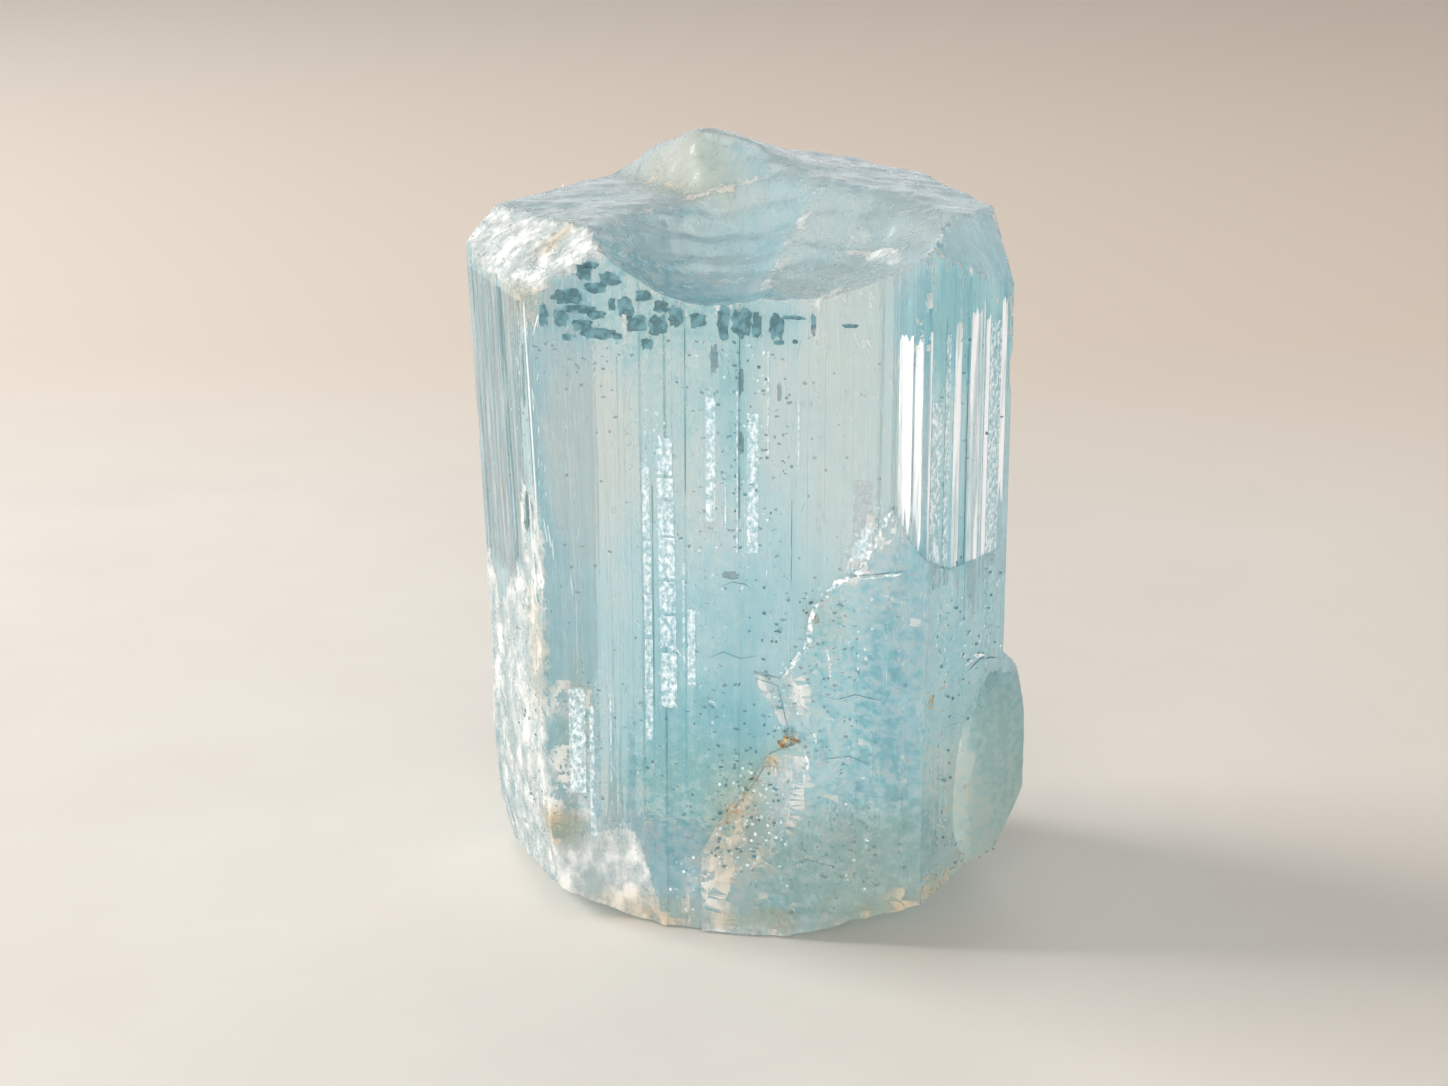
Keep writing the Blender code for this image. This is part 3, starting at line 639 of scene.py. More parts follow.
def on_top(place, patches):
    """The strongest of some slanting patches on the top at a point."""
    strongest = 0.0
    for x, y, half_length, half_width, turn, strength in patches:
        angle = math.radians(turn)
        along = (place.x - x) * math.cos(angle) + (place.y - y) * math.sin(angle)
        across = (place.y - y) * math.cos(angle) - (place.x - x) * math.sin(angle)
        reach = math.hypot(along / half_length, across / half_width)
        strongest = max(strongest, strength * smooth_step(1.5 - reach))
    return strongest


def surface_name(place):
    """Which surface of the crystal a point lies on."""
    x, y, z = place
    if abs(z - top_height(x, y)) < TOUCH:
        sheets = top_sheets(x, y)
        return "top " + min(sheets, key=sheets.get)
    if z < 0.02:
        return "resting flat"
    if abs(z - foot_height(x, y)) < TOUCH:
        return "foot"
    u, v, w = TO_FACES[FRONT] @ place
    if abs(w - front_surface(u, v)) < TOUCH and w < 1.1:
        parts = front_parts(u, v)
        return "front " + min(parts, key=parts.get)
    if BLOCK_RISE - 0.2 < w < BLOCK_RISE + 0.2 and z < BLOCK_TOP:
        return "block"
    u, v, w = TO_FACES[LEFT] @ place
    if abs(w - left_surface(u, v)) < TOUCH:
        return "left"
    reach = math.sqrt(sum(((part - centre) / radius) ** 2
                          for part, centre, radius in zip(place, BULGE_AT, BULGE_RADII)))
    if reach > 0.8 and x > 11.0 and z < BULGE_LEDGE + 1.5 and (TO_FACES[RIGHT] @ place).z > 0.1:
        return "bulge"
    if (TO_FACES[FRONT] @ place).z < -5.0 and (TO_FACES[RIGHT] @ place).z < -0.6 and w < -0.6:
        return "rear"
    return "prism"


def patches_at(place, patches, reach_out):
    """The strongest patch that covers a point, with its sign, fading out round its rim."""
    strongest = 0.0
    for face, along, up, half_width, half_height, strength in patches:
        u, v, w = TO_FACES[face] @ place
        if abs(w) < reach_out:
            reach = math.hypot((u - along) / half_width, (v - up) / half_height)
            share = strength * smooth_step(1.5 - reach) * smooth_step(2.0 - 2.0 * abs(w) / reach_out)
            strongest = share if abs(share) > abs(strongest) else strongest
    return strongest


def mark_surface(crystal):
    """Store how hazy, white, teal, broken up, stained and upright each point of the crystal is."""
    marks = {name: [] for name in ("haze", "white", "tone", "mosaic", "stain", "upright")}
    for vert in crystal.data.vertices:
        name = surface_name(vert.co)
        haze, white, tone, mosaic = SURFACES[name]
        stain = patches_at(vert.co, STAINS, STAIN_REACH)
        if name.startswith("top"):
            broken_up = on_top(vert.co, TOP_MOSAIC)
            # Part of this white is painted glints on the top.
            white = max(white, on_top(vert.co, TOP_BRUISES_AND_GLINTS))
            mosaic = max(mosaic, broken_up)
            tone += 0.4 * broken_up
            stain = max(stain, on_top(vert.co, TOP_STAINS))
        tone += patches_at(vert.co, TONES, FACE_REACH)
        mosaic = max(mosaic, patches_at(vert.co, MOSAICS, FACE_REACH))
        upright = 0.0 if name.startswith("top") or name == "resting flat" else 1.0
        for values, value in zip(marks.values(), (haze, white, tone, mosaic, stain, upright)):
            values.append(value)
    shape = edited(crystal)
    shape.verts.ensure_lookup_table()
    # Whiten sharp convex edges, as bruising and as a painted glint along each edge.
    for edge in shape.edges:
        if len(edge.link_faces) == 2 and edge.is_convex and edge.calc_face_angle(0.0) > BRUISE_AND_GLINT_ANGLE:
            for vert in edge.verts:
                if vert.co.z > BRUISE_AND_GLINT_ABOVE or vert.co.z < BRUISE_AND_GLINT_BELOW:
                    marks["white"][vert.index] = max(marks["white"][vert.index], BRUISE_AND_GLINT_WHITE)
    neighbours = [[edge.other_vert(vert).index for edge in vert.link_edges] for vert in shape.verts]
    shape.free()
    for name, values in marks.items():
        for _ in range(SPREAD_ROUNDS):
            values = [0.5 * value + 0.5 * sum(values[other] for other in around) / len(around)
                      for value, around in zip(values, neighbours)]
        crystal.data.attributes.new(name, "FLOAT", "POINT").data.foreach_set("value", values)


def inside(place, margin):
    """True if a point lies under the surface of the crystal by a margin."""
    if not foot_height(place.x, place.y) + margin < place.z < top_height(place.x, place.y) - margin:
        return False
    for number, to_face in enumerate(TO_FACES):
        u, v, w = to_face @ place
        if number == FRONT:
            w -= min(front_surface(u, v), 0.0)
        if number == LEFT:
            w -= min(left_surface(u, v), 0.0)
        if w > -margin:
            return False
    return True


# ---- what lies at the faces of the crystal ----

# White plates flush with the faces, a painted reflection of the bright room in them: (face, from, to, bottom,
# top, depth in the face).
PAINTED_REFLECTION_PLATES = (
    (0, 23.95, 24.78, 29.6, 39.9, 0.012), (0, 24.92, 25.42, 29.2, 39.6, 0.112),
    (1, 0.3, 0.46, 20, 40.4, 0.012), (1, 2.95, 3.48, 26, 40.4, 0.02), (1, 3.62, 3.8, 24, 40, 0.17),
    (1, 4.6, 5.7, 22.5, 40.6, 0.012), (1, 5.9, 6.05, 24, 41, 0.012), (1, 8.1, 8.64, 30, 40.8, 0.15),
    (1, 6.4, 6.8, 24, 40, 0.15), (5, 9.6, 9.8, 26, 40, 0.2), (5, 11.4, 11.7, 24, 40, 0.2),
    (5, 13, 13.2, 30, 41, 0.2),
)

# Shaded lines and streaked places flush with the faces, given the same way. The wide streaked plates on the
# left face are painted shade that darkens that face.
SHADED_LINES = (
    (0, 17.32, 17.38, 24.6, 29.4, 0.04), (0, 14, 14.06, 29, 41, 0.03), (0, 10.56, 10.6, 30, 40, 0.04),
    (0, 8.4, 8.44, 16, 30, 0.03), (0, 22.8, 22.84, 28, 41, 0.03), (0, 24.8, 24.86, 29, 40, 0.1),
    (1, 2, 2.06, 24, 41, 0.1), (1, 4.42, 4.48, 22, 41, 0.1), (1, 6.12, 6.18, 22, 41, 0.1),
    (5, 0.3, 7.4, 22.4, 41.4, 0.12), (5, 7.5, 9.4, 24, 41.4, 0.12), (5, 9.5, 11.4, 27, 41.4, 0.12),
    (5, 11.5, 12.4, 35.5, 41.4, 0.12),
)

# Dark growth marks under the front of the top: (along, up, half width, half height).
DARK_MARKS = (
    (2.4, 43.4, 0.6, 0.9), (3.3, 43.2, 0.5, 1.2), (3.2, 42, 0.8, 0.42), (1.9, 42.2, 0.3, 0.9),
    (4.3, 43.6, 0.4, 0.45), (5, 42.6, 0.7, 0.3), (4, 41.2, 1, 0.22), (5, 40.9, 0.6, 0.3),
    (4.1, 40.2, 0.7, 0.4), (5.1, 39.7, 0.8, 0.26), (6, 41.6, 0.25, 0.4), (6.9, 41.4, 0.6, 0.8),
    (7.5, 40.4, 0.5, 0.42), (4.7, 44, 0.5, 0.24), (5.9, 43.2, 0.5, 0.3), (8, 42.2, 0.5, 0.4),
    (9.1, 41.6, 0.55, 0.45), (8.9, 40.4, 0.5, 0.6), (10, 41, 0.5, 0.7), (11.4, 40.8, 0.6, 0.5),
    (2.7, 40.6, 0.4, 0.5), (3, 39.4, 0.3, 0.24), (6.3, 39.6, 0.34, 0.24), (1.6, 40.8, 0.24, 0.6),
    (8.2, 39.2, 0.3, 0.3), (13, 40.6, 0.28, 0.9), (14.2, 40.7, 0.6, 0.8), (15.1, 40.6, 0.22, 0.6),
    (16.3, 40.6, 0.45, 0.8), (17.4, 41.2, 0.9, 0.14), (18.6, 40.8, 0.14, 0.6), (16.5, 39.6, 0.35, 0.14),
    (17.5, 39.7, 0.16, 0.12), (20.9, 40.8, 0.4, 0.1), (14.1, 37, 0.2, 0.9), (14.1, 33.1, 0.16, 0.6),
    (16.5, 36.4, 0.14, 0.6), (12.4, 38.4, 0.2, 0.7), (13.4, 24.4, 0.4, 0.2),
)

# How deep the marks lie, and how finely marks, plates, cracks and columns are divided.
BLOT_CORNERS = 20
BLOT_DEPTH = -0.01
SUNK_BLOT_DEPTH = 0.2
SUNK_BELOW = 39.0
PLATE_STEP = 0.12
CRACK_STEP = 0.35
PATCH_HEIGHT = 3.0

# Cracks and broken rims: (face, depth in the face, width, points along and up the face).
BRIGHT_CRACKS = (
    (0, -0.43, 0.4, ((23.6, 29.4), (22.6, 27.1), (21.5, 24.8), (20.3, 24.4), (18.8, 22.4), (18.5, 20.2),
        (16.9, 18))), (0, -0.43, 0.16, ((20.9, 24.7), (22.6, 24.9), (24.6, 25.3))),
    (0, -0.43, 0.2, ((18.2, 13.6), (18.6, 12.2), (18.2, 10.4))),
    (0, -0.43, 0.24, ((18.9, 14.6), (19.4, 12.9), (19.1, 11.6))),
    (0, -0.43, 0.14, ((19.6, 20.6), (19.9, 19.2), (20, 17.6))),
    (1, -0.3, 0.3, ((4.4, 18), (5.4, 18.4), (6.6, 18.2))),
    (0, 0.03, 0.14, ((9.2, 18.9), (9.9, 19.4), (10.3, 18.8))),
    (0, 0.03, 0.1, ((17.2, 22.6), (18, 22.3), (18.7, 22.4))),
)
DARK_CRACKS = (
    (0, -0.43, 0.07, ((20.9, 24.95), (22.8, 25.15), (24.7, 25.5))),
    (1, -0.32, 0.14, ((4.6, 17.6), (6, 18.1), (8.2, 17.6))),
    (0, 0.01, 0.05, ((12.9, 23.7), (13.6, 24), (14.4, 23.9), (15, 23.5))),
    (0, 0.01, 0.05, ((12, 18.8), (13, 19.3), (14.2, 18.9), (15.2, 19.2))),
    (0, -0.43, 0.06, ((15.2, 17.8), (16.6, 17.4), (17.3, 14.4))),
    (0, -0.43, 0.06, ((16.1, 12.4), (15, 10.5), (13.5, 8.4))),
    (0, -0.43, 0.05, ((19, 17), (20.4, 16.7), (21.6, 17.1), (23.2, 16.8))),
    (0, -0.43, 0.05, ((19.6, 12.6), (21.2, 12.9), (22.6, 12.4))),
    (0, -0.43, 0.05, ((17.4, 5), (18.6, 5.6), (20.4, 5.2))),
)

# Columns of growth tubes: (face, from, to, bottom, top, how crowded, depth under the face).
TUBE_COLUMNS = (
    (0, 10.4, 13.6, 14, 40, 0.5, 0.2), (0, 14.6, 16, 20, 40, 0.4, 0.2), (0, 16.5, 22.4, 22, 40, 0.2, 0.2),
    (0, 4.6, 7.2, 20, 37, 0.2, 0.2), (0, 0.6, 3, 20, 38, 0.2, 0.2), (1, 0.6, 2.2, 20, 38, 0.5, 0.2),
    (1, 4.6, 9, 20, 40, 0.4, 0.2), (5, 8, 14, 22, 41, 0.7, 0.2), (0, 4.8, 9, 9, 20, 0.5, 0.2),
    (0, 15.5, 25, 4, 24, 0.5, 0.2), (2, 2, 16, 6, 42, 0.5, 0.2), (3, 2, 17, 8, 42, 0.5, 0.2),
    (4, 2, 13, 8, 42, 0.5, 0.2),
)

# Ladders and clusters of small bright steps, given the same way.
LADDERS = (
    (0, 7.72, 8.34, 13, 31.5, 3, 0.12), (0, 7.3, 7.56, 20, 29, 2, -0.01), (0, 8.72, 9.2, 15.5, 33.4, 3, 0.01),
    (0, 9.36, 9.9, 15.5, 33, 3, 0.15), (0, 6.6, 9.4, 31, 35, 4, 0.02), (0, 1.9, 4.5, 5, 16.5, 5, 0.06),
    (5, 9, 13, 20, 41, 0.9, 0.05), (0, 11.2, 13.2, 14, 26, 2, 0.03), (0, 13.4, 16.4, 22, 40, 1, 0.12),
    (0, 10.7, 13.4, 26, 39, 1.4, 0.03), (0, 18.4, 24.6, 19, 24, 3, -0.38),
    (0, 16.6, 24.6, 12, 19, 1.8, -0.38), (0, 12.5, 24.6, 3.5, 12, 2.4, -0.38),
    (1, 0.6, 8.6, 18, 24, 1.2, -0.36), (0, 21, 22.8, 24.6, 27.6, 5, -0.1), (0, 22, 23.6, 26.6, 30, 5, -0.05),
    (0, 19, 21.2, 22.6, 24.6, 3, -0.36), (0, 16, 18.6, 13.6, 17.6, 3, 0), (0, 19.4, 22, 24.8, 28, 2, 0.02),
    (0, 9.4, 11.8, 0.8, 5, 3, 0), (0, 6.2, 7.4, 10, 15, 3, 0.02), (0, 23.4, 24.8, 19, 29, 2, 0.02),
)

# The milky rungs of the two ladders: (face, from, to, bottom, top, depth in the face).
RUNGS = (
    (0, 7.72, 8.22, 26.6, 31.4, 0.12), (0, 7.74, 8.28, 23, 26.4, 0.12), (0, 7.76, 8.3, 20.2, 22.8, 0.12),
    (0, 7.78, 8.34, 16.8, 19.8, 0.12), (0, 7.8, 8.34, 13, 16.4, 0.12), (0, 8.7, 9.74, 30.9, 33.2, 0.01),
    (0, 8.74, 9.8, 29.4, 30.6, 0.01), (0, 8.8, 9.86, 26.9, 29.1, 0.01), (0, 8.82, 9.9, 24.1, 26.7, 0.01),
    (0, 8.86, 9.94, 21.8, 23.8, 0.01), (0, 8.9, 9.96, 19.4, 21.5, 0.01), (0, 8.96, 10, 15.4, 19, 0.01),
    (0, 10.7, 11.2, 17, 22, 0.012), (0, 14.5, 15.2, 26, 35, 0.14), (0, 11.9, 12.5, 28, 36, 0.012),
    (0, 2, 3.2, 9, 16.4, 0.1), (0, 3.5, 4.3, 6, 15, 0.1), (1, 6.9, 7.8, 24, 40, 0.15),
    (0, 21.2, 22.4, 25.4, 31, 0.05), (0, 13.84, 13.94, 26, 36.4, 0.012), (0, 15.76, 15.86, 32, 39, 0.14),
    (0, 17.7, 17.78, 31.6, 36, 0.012), (0, 13.1, 13.2, 27, 31, 0.012), (0, 10.36, 10.5, 18, 25, 0.16),
    (0, 5.1, 5.2, 10, 16, 0.05), (1, 2.1, 2.6, 24, 40, 0.13), (1, 0.6, 1.6, 24, 36, 0.01),
    (1, 7.9, 8.1, 24, 40, 0.15),
)

# Where small shaded pits lie, given the same way.
PITS = (
    (0, 15.5, 25, 13, 24, 1.5, -0.34), (0, 12, 25, 4, 13, 2.2, -0.34), (0, 1, 24, 14, 40, 0.2, 0.1),
    (0, 10.6, 16, 26, 40, 0.7, 0.1), (0, 16, 17.4, 24, 39, 1.2, 0.1), (1, 1, 8.4, 4, 24, 0.9, -0.3),
    (1, 1, 8.4, 24, 40, 0.4, 0.1), (0, 5, 15, 6, 17, 0.6, 0.2), (0, 1.6, 4.5, 6, 16.5, 2, 0.1),
    (2, 1, 17, 5, 42, 0.3, 0.1), (3, 1, 18, 6, 42, 0.3, 0.1), (5, 6, 12.5, 6, 40, 1.2, 0.1),
    (4, 1, 14, 6, 42, 0.3, 0.1), (0, 13.6, 14.1, 26, 40, 4, 0.03), (0, 0.8, 6.5, 36, 41, 1.5, 0.1),
)

# Where iron has stained the cracks, given the same way.
RUSTY_PLACES = (
    (0, 18.5, 19.3, 21.7, 22.3, 26, -0.06), (0, 17.4, 18, 13.4, 14, 40, 0), (0, 16.6, 17.3, 13, 13.8, 30, 0),
    (0, 15.9, 16.4, 11.7, 12.5, 20, 0), (0, 15, 15.5, 10.3, 11, 18, 0), (0, 14.2, 14.6, 9.2, 9.8, 20, 0),
    (0, 13.5, 13.9, 8.2, 8.7, 30, 0), (0, 13, 13.4, 7.4, 8.2, 18, 0), (1, 0.55, 0.95, 16.2, 17, 30, -0.3),
    (0, 2.6, 3.4, 2.6, 3.4, 4, 0), (0, 17, 18.4, 1, 2, 4, 0), (0, 20, 21, 2, 3, 3, 0),
)


def on_face(face, u, v, depth):
    """A point under a face, leaning in with the prism."""
    place = FACES[face] @ Vector((u, v, -depth))
    place.x += lean_in(place.x, place.z)
    return place


def broken_off(face, u, v):
    """How far a break has set back a face, as a negative number."""
    if face == FRONT:
        return min(front_surface(u, v), 0.0)
    if face == LEFT:
        return min(left_surface(u, v) + LEFT_FACE_LEAN * below_bend(v), 0.0)
    return 0.0


def make_plates(name, plates, thickness):
    """Thin closed plates, each given as its face, the depth of its near side and its outline."""
    shape = bmesh.new()
    for face, depth, outline in plates:
        near = [shape.verts.new(on_face(face, u, v, depth)) for u, v in outline]
        far = [shape.verts.new(on_face(face, u, v, depth + thickness)) for u, v in outline]
        shape.faces.new(near)
        shape.faces.new(list(reversed(far)))
        for number in range(len(outline)):
            after = (number + 1) % len(outline)
            shape.faces.new((near[after], near[number], far[number], far[after]))
    return to_object(name, shape)


def ragged_plates(plates, ragged, seed):
    """Upright plates with ragged ends: (face, from, to, bottom, top, depth)."""
    randomness = random.Random(seed)
    for face, start, end, bottom, top, depth in plates:
        across = max(2, round((end - start) / PLATE_STEP))
        places = [start + (end - start) * number / across for number in range(across + 1)]
        outline = [(place, bottom - randomness.uniform(0.0, ragged)) for place in places]
        outline += [(place, top + randomness.uniform(0.0, 0.25 * ragged)) for place in reversed(places)]
        yield face, depth, outline


def squarish_blots(blots, seed):
    """Blots on the front with uneven squarish rims: (along, up, half width, half height)."""
    randomness = random.Random(seed)
    for along, up, half_width, half_height in blots:
        if not inside(on_face(FRONT, along, up + half_height, 0.3), 0.1):
            continue
        outline = []
        swell = randomness.uniform(0.9, 1.5)
        for number in range(BLOT_CORNERS):
            angle = 2.0 * math.pi * number / BLOT_CORNERS
            cos, sin = math.cos(angle), math.sin(angle)
            square = 1.0 / max(abs(cos), abs(sin)) ** 0.7
            reach = square * swell * randomness.uniform(0.7, 1.1)
            outline.append((along + half_width * cos * reach, up + half_height * sin * reach))
        yield FRONT, BLOT_DEPTH if up > SUNK_BELOW else SUNK_BLOT_DEPTH, outline


def ragged_ribbons(cracks, seed):
    """Ribbons with ragged sides that follow the cracks: (face, depth, width, points)."""
    randomness = random.Random(seed)
    for face, depth, width, points in cracks:
        line = [Vector(point) for point in points]
        path = []
        for start, end in zip(line, line[1:]):
            steps = max(1, round((end - start).length / CRACK_STEP))
            path += [start.lerp(end, number / steps) for number in range(steps)]
        path.append(line[-1])
        left, right = [], []
        for number, place in enumerate(path):
            ahead = path[min(number + 1, len(path) - 1)] - path[max(number - 1, 0)]
            across = Vector((-ahead.y, ahead.x)).normalized()
            taper = min(1.0, 0.2 + number / 3.0, 0.2 + (len(path) - 1 - number) / 3.0)
            left.append(place + across * width * taper * randomness.uniform(0.1, 0.7))
            right.append(place - across * width * taper * randomness.uniform(0.1, 0.7))
        yield face, depth, [(place.x, place.y) for place in right + left[::-1]]


# ---- nodes ----

class Nodes:
    """A tree of nodes, built up line by line. Inputs take plain values or other nodes' outputs."""

    def __init__(self, tree):
        self.tree = tree

    def link(self, source, target):
        self.tree.links.new(source, target)

    def node(self, kind, inputs=None, **settings):
        """Add a node with its settings and its inputs, by name or number."""
        made = self.tree.nodes.new(kind)
        for name, value in settings.items():
            setattr(made, name, value)
        for name, given in (inputs or {}).items():
            socket = made.inputs[name]
            if isinstance(given, bpy.types.NodeSocket):
                self.link(given, socket)
            else:
                socket.default_value = (*given, 1.0) if socket.type == "RGBA" else given
        return made

    def math(self, kind, a, b, clamp=False):
        return self.node("ShaderNodeMath", {0: a, 1: b}, operation=kind, use_clamp=clamp).outputs[0]

    def add(self, a, b, clamp=False):
        return self.math("ADD", a, b, clamp)

    def times(self, a, b, clamp=False):
        return self.math("MULTIPLY", a, b, clamp)

    def ramp(self, source, *stops):
        """Turn a number into a colour through (place, colour) stops."""
        made = self.node("ShaderNodeValToRGB", {"Fac": source})
        elements = made.color_ramp.elements
        while len(elements) < len(stops):
            elements.new(1.0)
        for element, (where, colour) in zip(elements, stops):
            element.position = where
            element.color = (*colour, 1.0)
        return made.outputs["Color"]


# ---- what repeats ----

class Growth(Nodes):
    """Geometry nodes that scatter small shapes over a source, with named inputs."""

    def __init__(self, name, **inputs):
        super().__init__(bpy.data.node_groups.new(name, "GeometryNodeTree"))
        self.given = inputs
        sockets = self.tree.interface
        for way in ("INPUT", "OUTPUT"):
            sockets.new_socket("Geometry", in_out=way, socket_type="NodeSocketGeometry")
        for label, value in inputs.items():
            kind = "NodeSocketInt" if isinstance(value, int) else "NodeSocketFloat"
            sockets.new_socket(label, in_out="INPUT", socket_type=kind)
        self.start = self.node("NodeGroupInput")
        self.end = self.node("NodeGroupOutput")

    def size(self, name):
        """One of the named inputs."""
        return self.start.outputs[name]

    def stored(self, name):
        """A number that is stored on the source."""
        return self.node("GeometryNodeInputNamedAttribute", {"Name": name}, data_type="FLOAT").outputs[0]

    def between(self, low, high, seed):
        """A random number between two values for each point."""
        return self.node("FunctionNodeRandomValue", {2: low, 3: high, "Seed": seed},
                         data_type="FLOAT").outputs[1]

    def vector(self, x, y, z):
        return self.node("ShaderNodeCombineXYZ", {0: x, 1: y, 2: z}).outputs[0]

    def scatter(self, crowding):
        """Points scattered over the source."""
        return self.node("GeometryNodeDistributePointsOnFaces",
                         {"Mesh": self.size("Geometry"), "Density": crowding, "Seed": self.size("Seed")})

    def plant(self, points, plate, turn, scale, material):
        """Put a plate on each point, realize the plates and give them their finish."""
        placed = self.node("GeometryNodeInstanceOnPoints",
                           {"Points": points, "Instance": plate, "Rotation": turn, "Scale": scale})
        real = self.node("GeometryNodeRealizeInstances", {"Geometry": placed.outputs[0]})
        painted = self.node("GeometryNodeSetMaterial", {"Geometry": real.outputs[0], "Material": material})
        self.link(painted.outputs[0], self.end.inputs[0])

    def grow(self, name, source):
        """Run the tree on a source and return what it grew as a plain mesh."""
        step = source.modifiers.new(name, "NODES")
        step.node_group = self.tree
        for socket in self.tree.interface.items_tree:
            if socket.in_out == "INPUT" and socket.name in self.given:
                step[socket.identifier] = self.given[socket.name]
        source.update_tag()
        grown = add_object(name, worked_out(source))
        bpy.data.objects.remove(source, do_unlink=True)
        return grown


def patches_under_faces(name, columns):
    """Flat patches under the faces, each with how crowded it is and how its face is turned."""
    shape = bmesh.new()
    crowding = shape.faces.layers.float.new("crowding")
    turn = shape.faces.layers.float.new("turn")
    for face, start, end, bottom, top, crowded, depth in columns:
        steps = max(1, round((top - bottom) / PATCH_HEIGHT))
        for number in range(steps):
            low = bottom + (top - bottom) * number / steps
            high = bottom + (top - bottom) * (number + 1) / steps
            corners = ((start, low), (end, low), (end, high), (start, high))
            made = shape.faces.new([shape.verts.new(on_face(face, u, v, depth - broken_off(face, u, v)))
                                    for u, v in corners])
            made[crowding] = crowded
            made[turn] = heading_of(face)
    return to_object(name, shape)


def grow_steps(name, columns, widths, heights, deepest, seed, material):
    """Small plates scattered in columns, flat to their face and mostly close under it."""
    tree = Growth(name, Narrowest=widths[0], Widest=widths[1], Shortest=heights[0], Tallest=heights[1],
                  Thickness=0.03, Deepest=deepest, Seed=seed)
    points = tree.scatter(tree.stored("crowding"))
    depth = tree.times(tree.math("POWER", tree.between(0.0, 1.0, 3), 2.0), tree.size("Deepest"))
    sink = tree.node("ShaderNodeVectorMath", {0: points.outputs["Normal"], "Scale": tree.times(depth, -1.0)},
                     operation="SCALE")
    sunk = tree.node("GeometryNodeSetPosition", {"Geometry": points.outputs["Points"],
                                                 "Offset": sink.outputs[0]})
    plate = tree.node("GeometryNodeMeshCube", {"Size": (1.0, 1.0, 1.0)})
    turn = tree.vector(tree.between(-0.15, 0.15, 21), tree.between(-0.5, 0.5, 22), tree.stored("turn"))
    scale = tree.vector(tree.between(tree.size("Narrowest"), tree.size("Widest"), 5), tree.size("Thickness"),
                        tree.between(tree.size("Shortest"), tree.size("Tallest"), 7))
    tree.plant(sunk.outputs[0], plate.outputs["Mesh"], turn, scale, material)
    return tree.grow(name, patches_under_faces("plate source", columns))


def grow_flakes(name, source, material):
    """Small bright plates that stand out of the broken and bruised places, and of the painted glints."""
    tree = Growth("flakes", Crowding=2.2, Smallest=0.05, Largest=0.24, Seed=8)
    points = tree.scatter(tree.times(tree.stored("white"), tree.size("Crowding")))
    plate = tree.node("GeometryNodeMeshIcoSphere", {"Radius": 1.0, "Subdivisions": 1})
    turn = tree.node("FunctionNodeRandomValue", {0: (0.0, 0.0, 0.0), 1: (6.28, 6.28, 6.28), "Seed": 3},
                     data_type="FLOAT_VECTOR")
    size = tree.between(tree.size("Smallest"), tree.size("Largest"), 6)
    scale = tree.vector(size, tree.times(size, tree.between(0.4, 1.0, 9)), tree.times(size, 0.22))
    tree.plant(points.outputs["Points"], plate.outputs["Mesh"], turn.outputs[0], scale, material)
    flakes = tree.grow(name, source)
    for vert in flakes.data.vertices:
        vert.co.z = max(vert.co.z, CLEAR_OF_TABLE)
    return flakes


# ---- finishing pieces ----

def dress(piece, name, material):
    """Finish a piece of the crystal, bring it to its place in metres and hand it to the frame."""
    piece.name = name
    piece.data.name = name
    piece.data.materials.clear()
    piece.data.materials.append(material)
    piece.data.transform(Matrix.Scale(MM, 4) @ Matrix.Translation(-FOOT_MIDDLE) @ piece.matrix_world)
    piece.matrix_world = Matrix.Identity(4)
    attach(piece, "root")
    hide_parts("aquamarine_crystal")


def soften(piece, degrees):
    """Shade a piece smooth, but keep the edges that are sharper than so many degrees."""
    piece.data.shade_smooth()
    shape = edited(piece)
    limit = math.radians(degrees)
    for edge in shape.edges:
        edge.smooth = len(edge.link_faces) == 2 and edge.calc_face_angle(0.0) < limit
    store(shape, piece.data)


# ---- materials ----

class Mix(Nodes):
    """A material made of a few nodes."""

    def __init__(self, name):
        self.material = bpy.data.materials.new(name)
        self.material.use_nodes = True
        super().__init__(self.material.node_tree)
        self.tree.nodes.clear()
        self.out = self.node("ShaderNodeOutputMaterial")
        self.place = self.node("ShaderNodeTexCoord").outputs["Object"]

    def attribute(self, name):
        return self.node("ShaderNodeAttribute", attribute_name=name).outputs["Fac"]

    def grain(self, factors, detail, roughness=0.55):
        """Noise in the object's own coordinates, scaled by so much along each axis."""
        where = self.node("ShaderNodeMapping", {"Vector": self.place, "Scale": factors}, vector_type="POINT")
        return self.node("ShaderNodeTexNoise", {"Vector": where.outputs[0], "Scale": 1.0, "Detail": detail,
                                                "Roughness": roughness}).outputs["Fac"]

    def level(self, source, low, high, to_low=0.0, to_high=1.0):
        """Stretch the numbers between low and high over another range."""
        return self.node("ShaderNodeMapRange", {"Value": source, "From Min": low, "From Max": high,
                                                "To Min": to_low, "To Max": to_high}, clamp=True).outputs[0]

    def blend(self, share, first, second):
        """A colour between two others."""
        return self.node("ShaderNodeMix", {"Factor": share, 6: first, 7: second},
                         data_type="RGBA").outputs[2]

    def relief(self, height, depth):
        """A bump of a depth in metres."""
        return self.node("ShaderNodeBump", {"Height": height, "Distance": depth,
                                            "Strength": 0.9}).outputs["Normal"]

    def principled(self, **values):
        inputs = {name.replace("_", " "): given for name, given in values.items()}
        self.link(self.node("ShaderNodeBsdfPrincipled", inputs).outputs[0], self.out.inputs["Surface"])


BERYL_IOR = 1.577
ABSORBED = (0.16, 0.82, 0.93)
ABSORPTION = 10.5


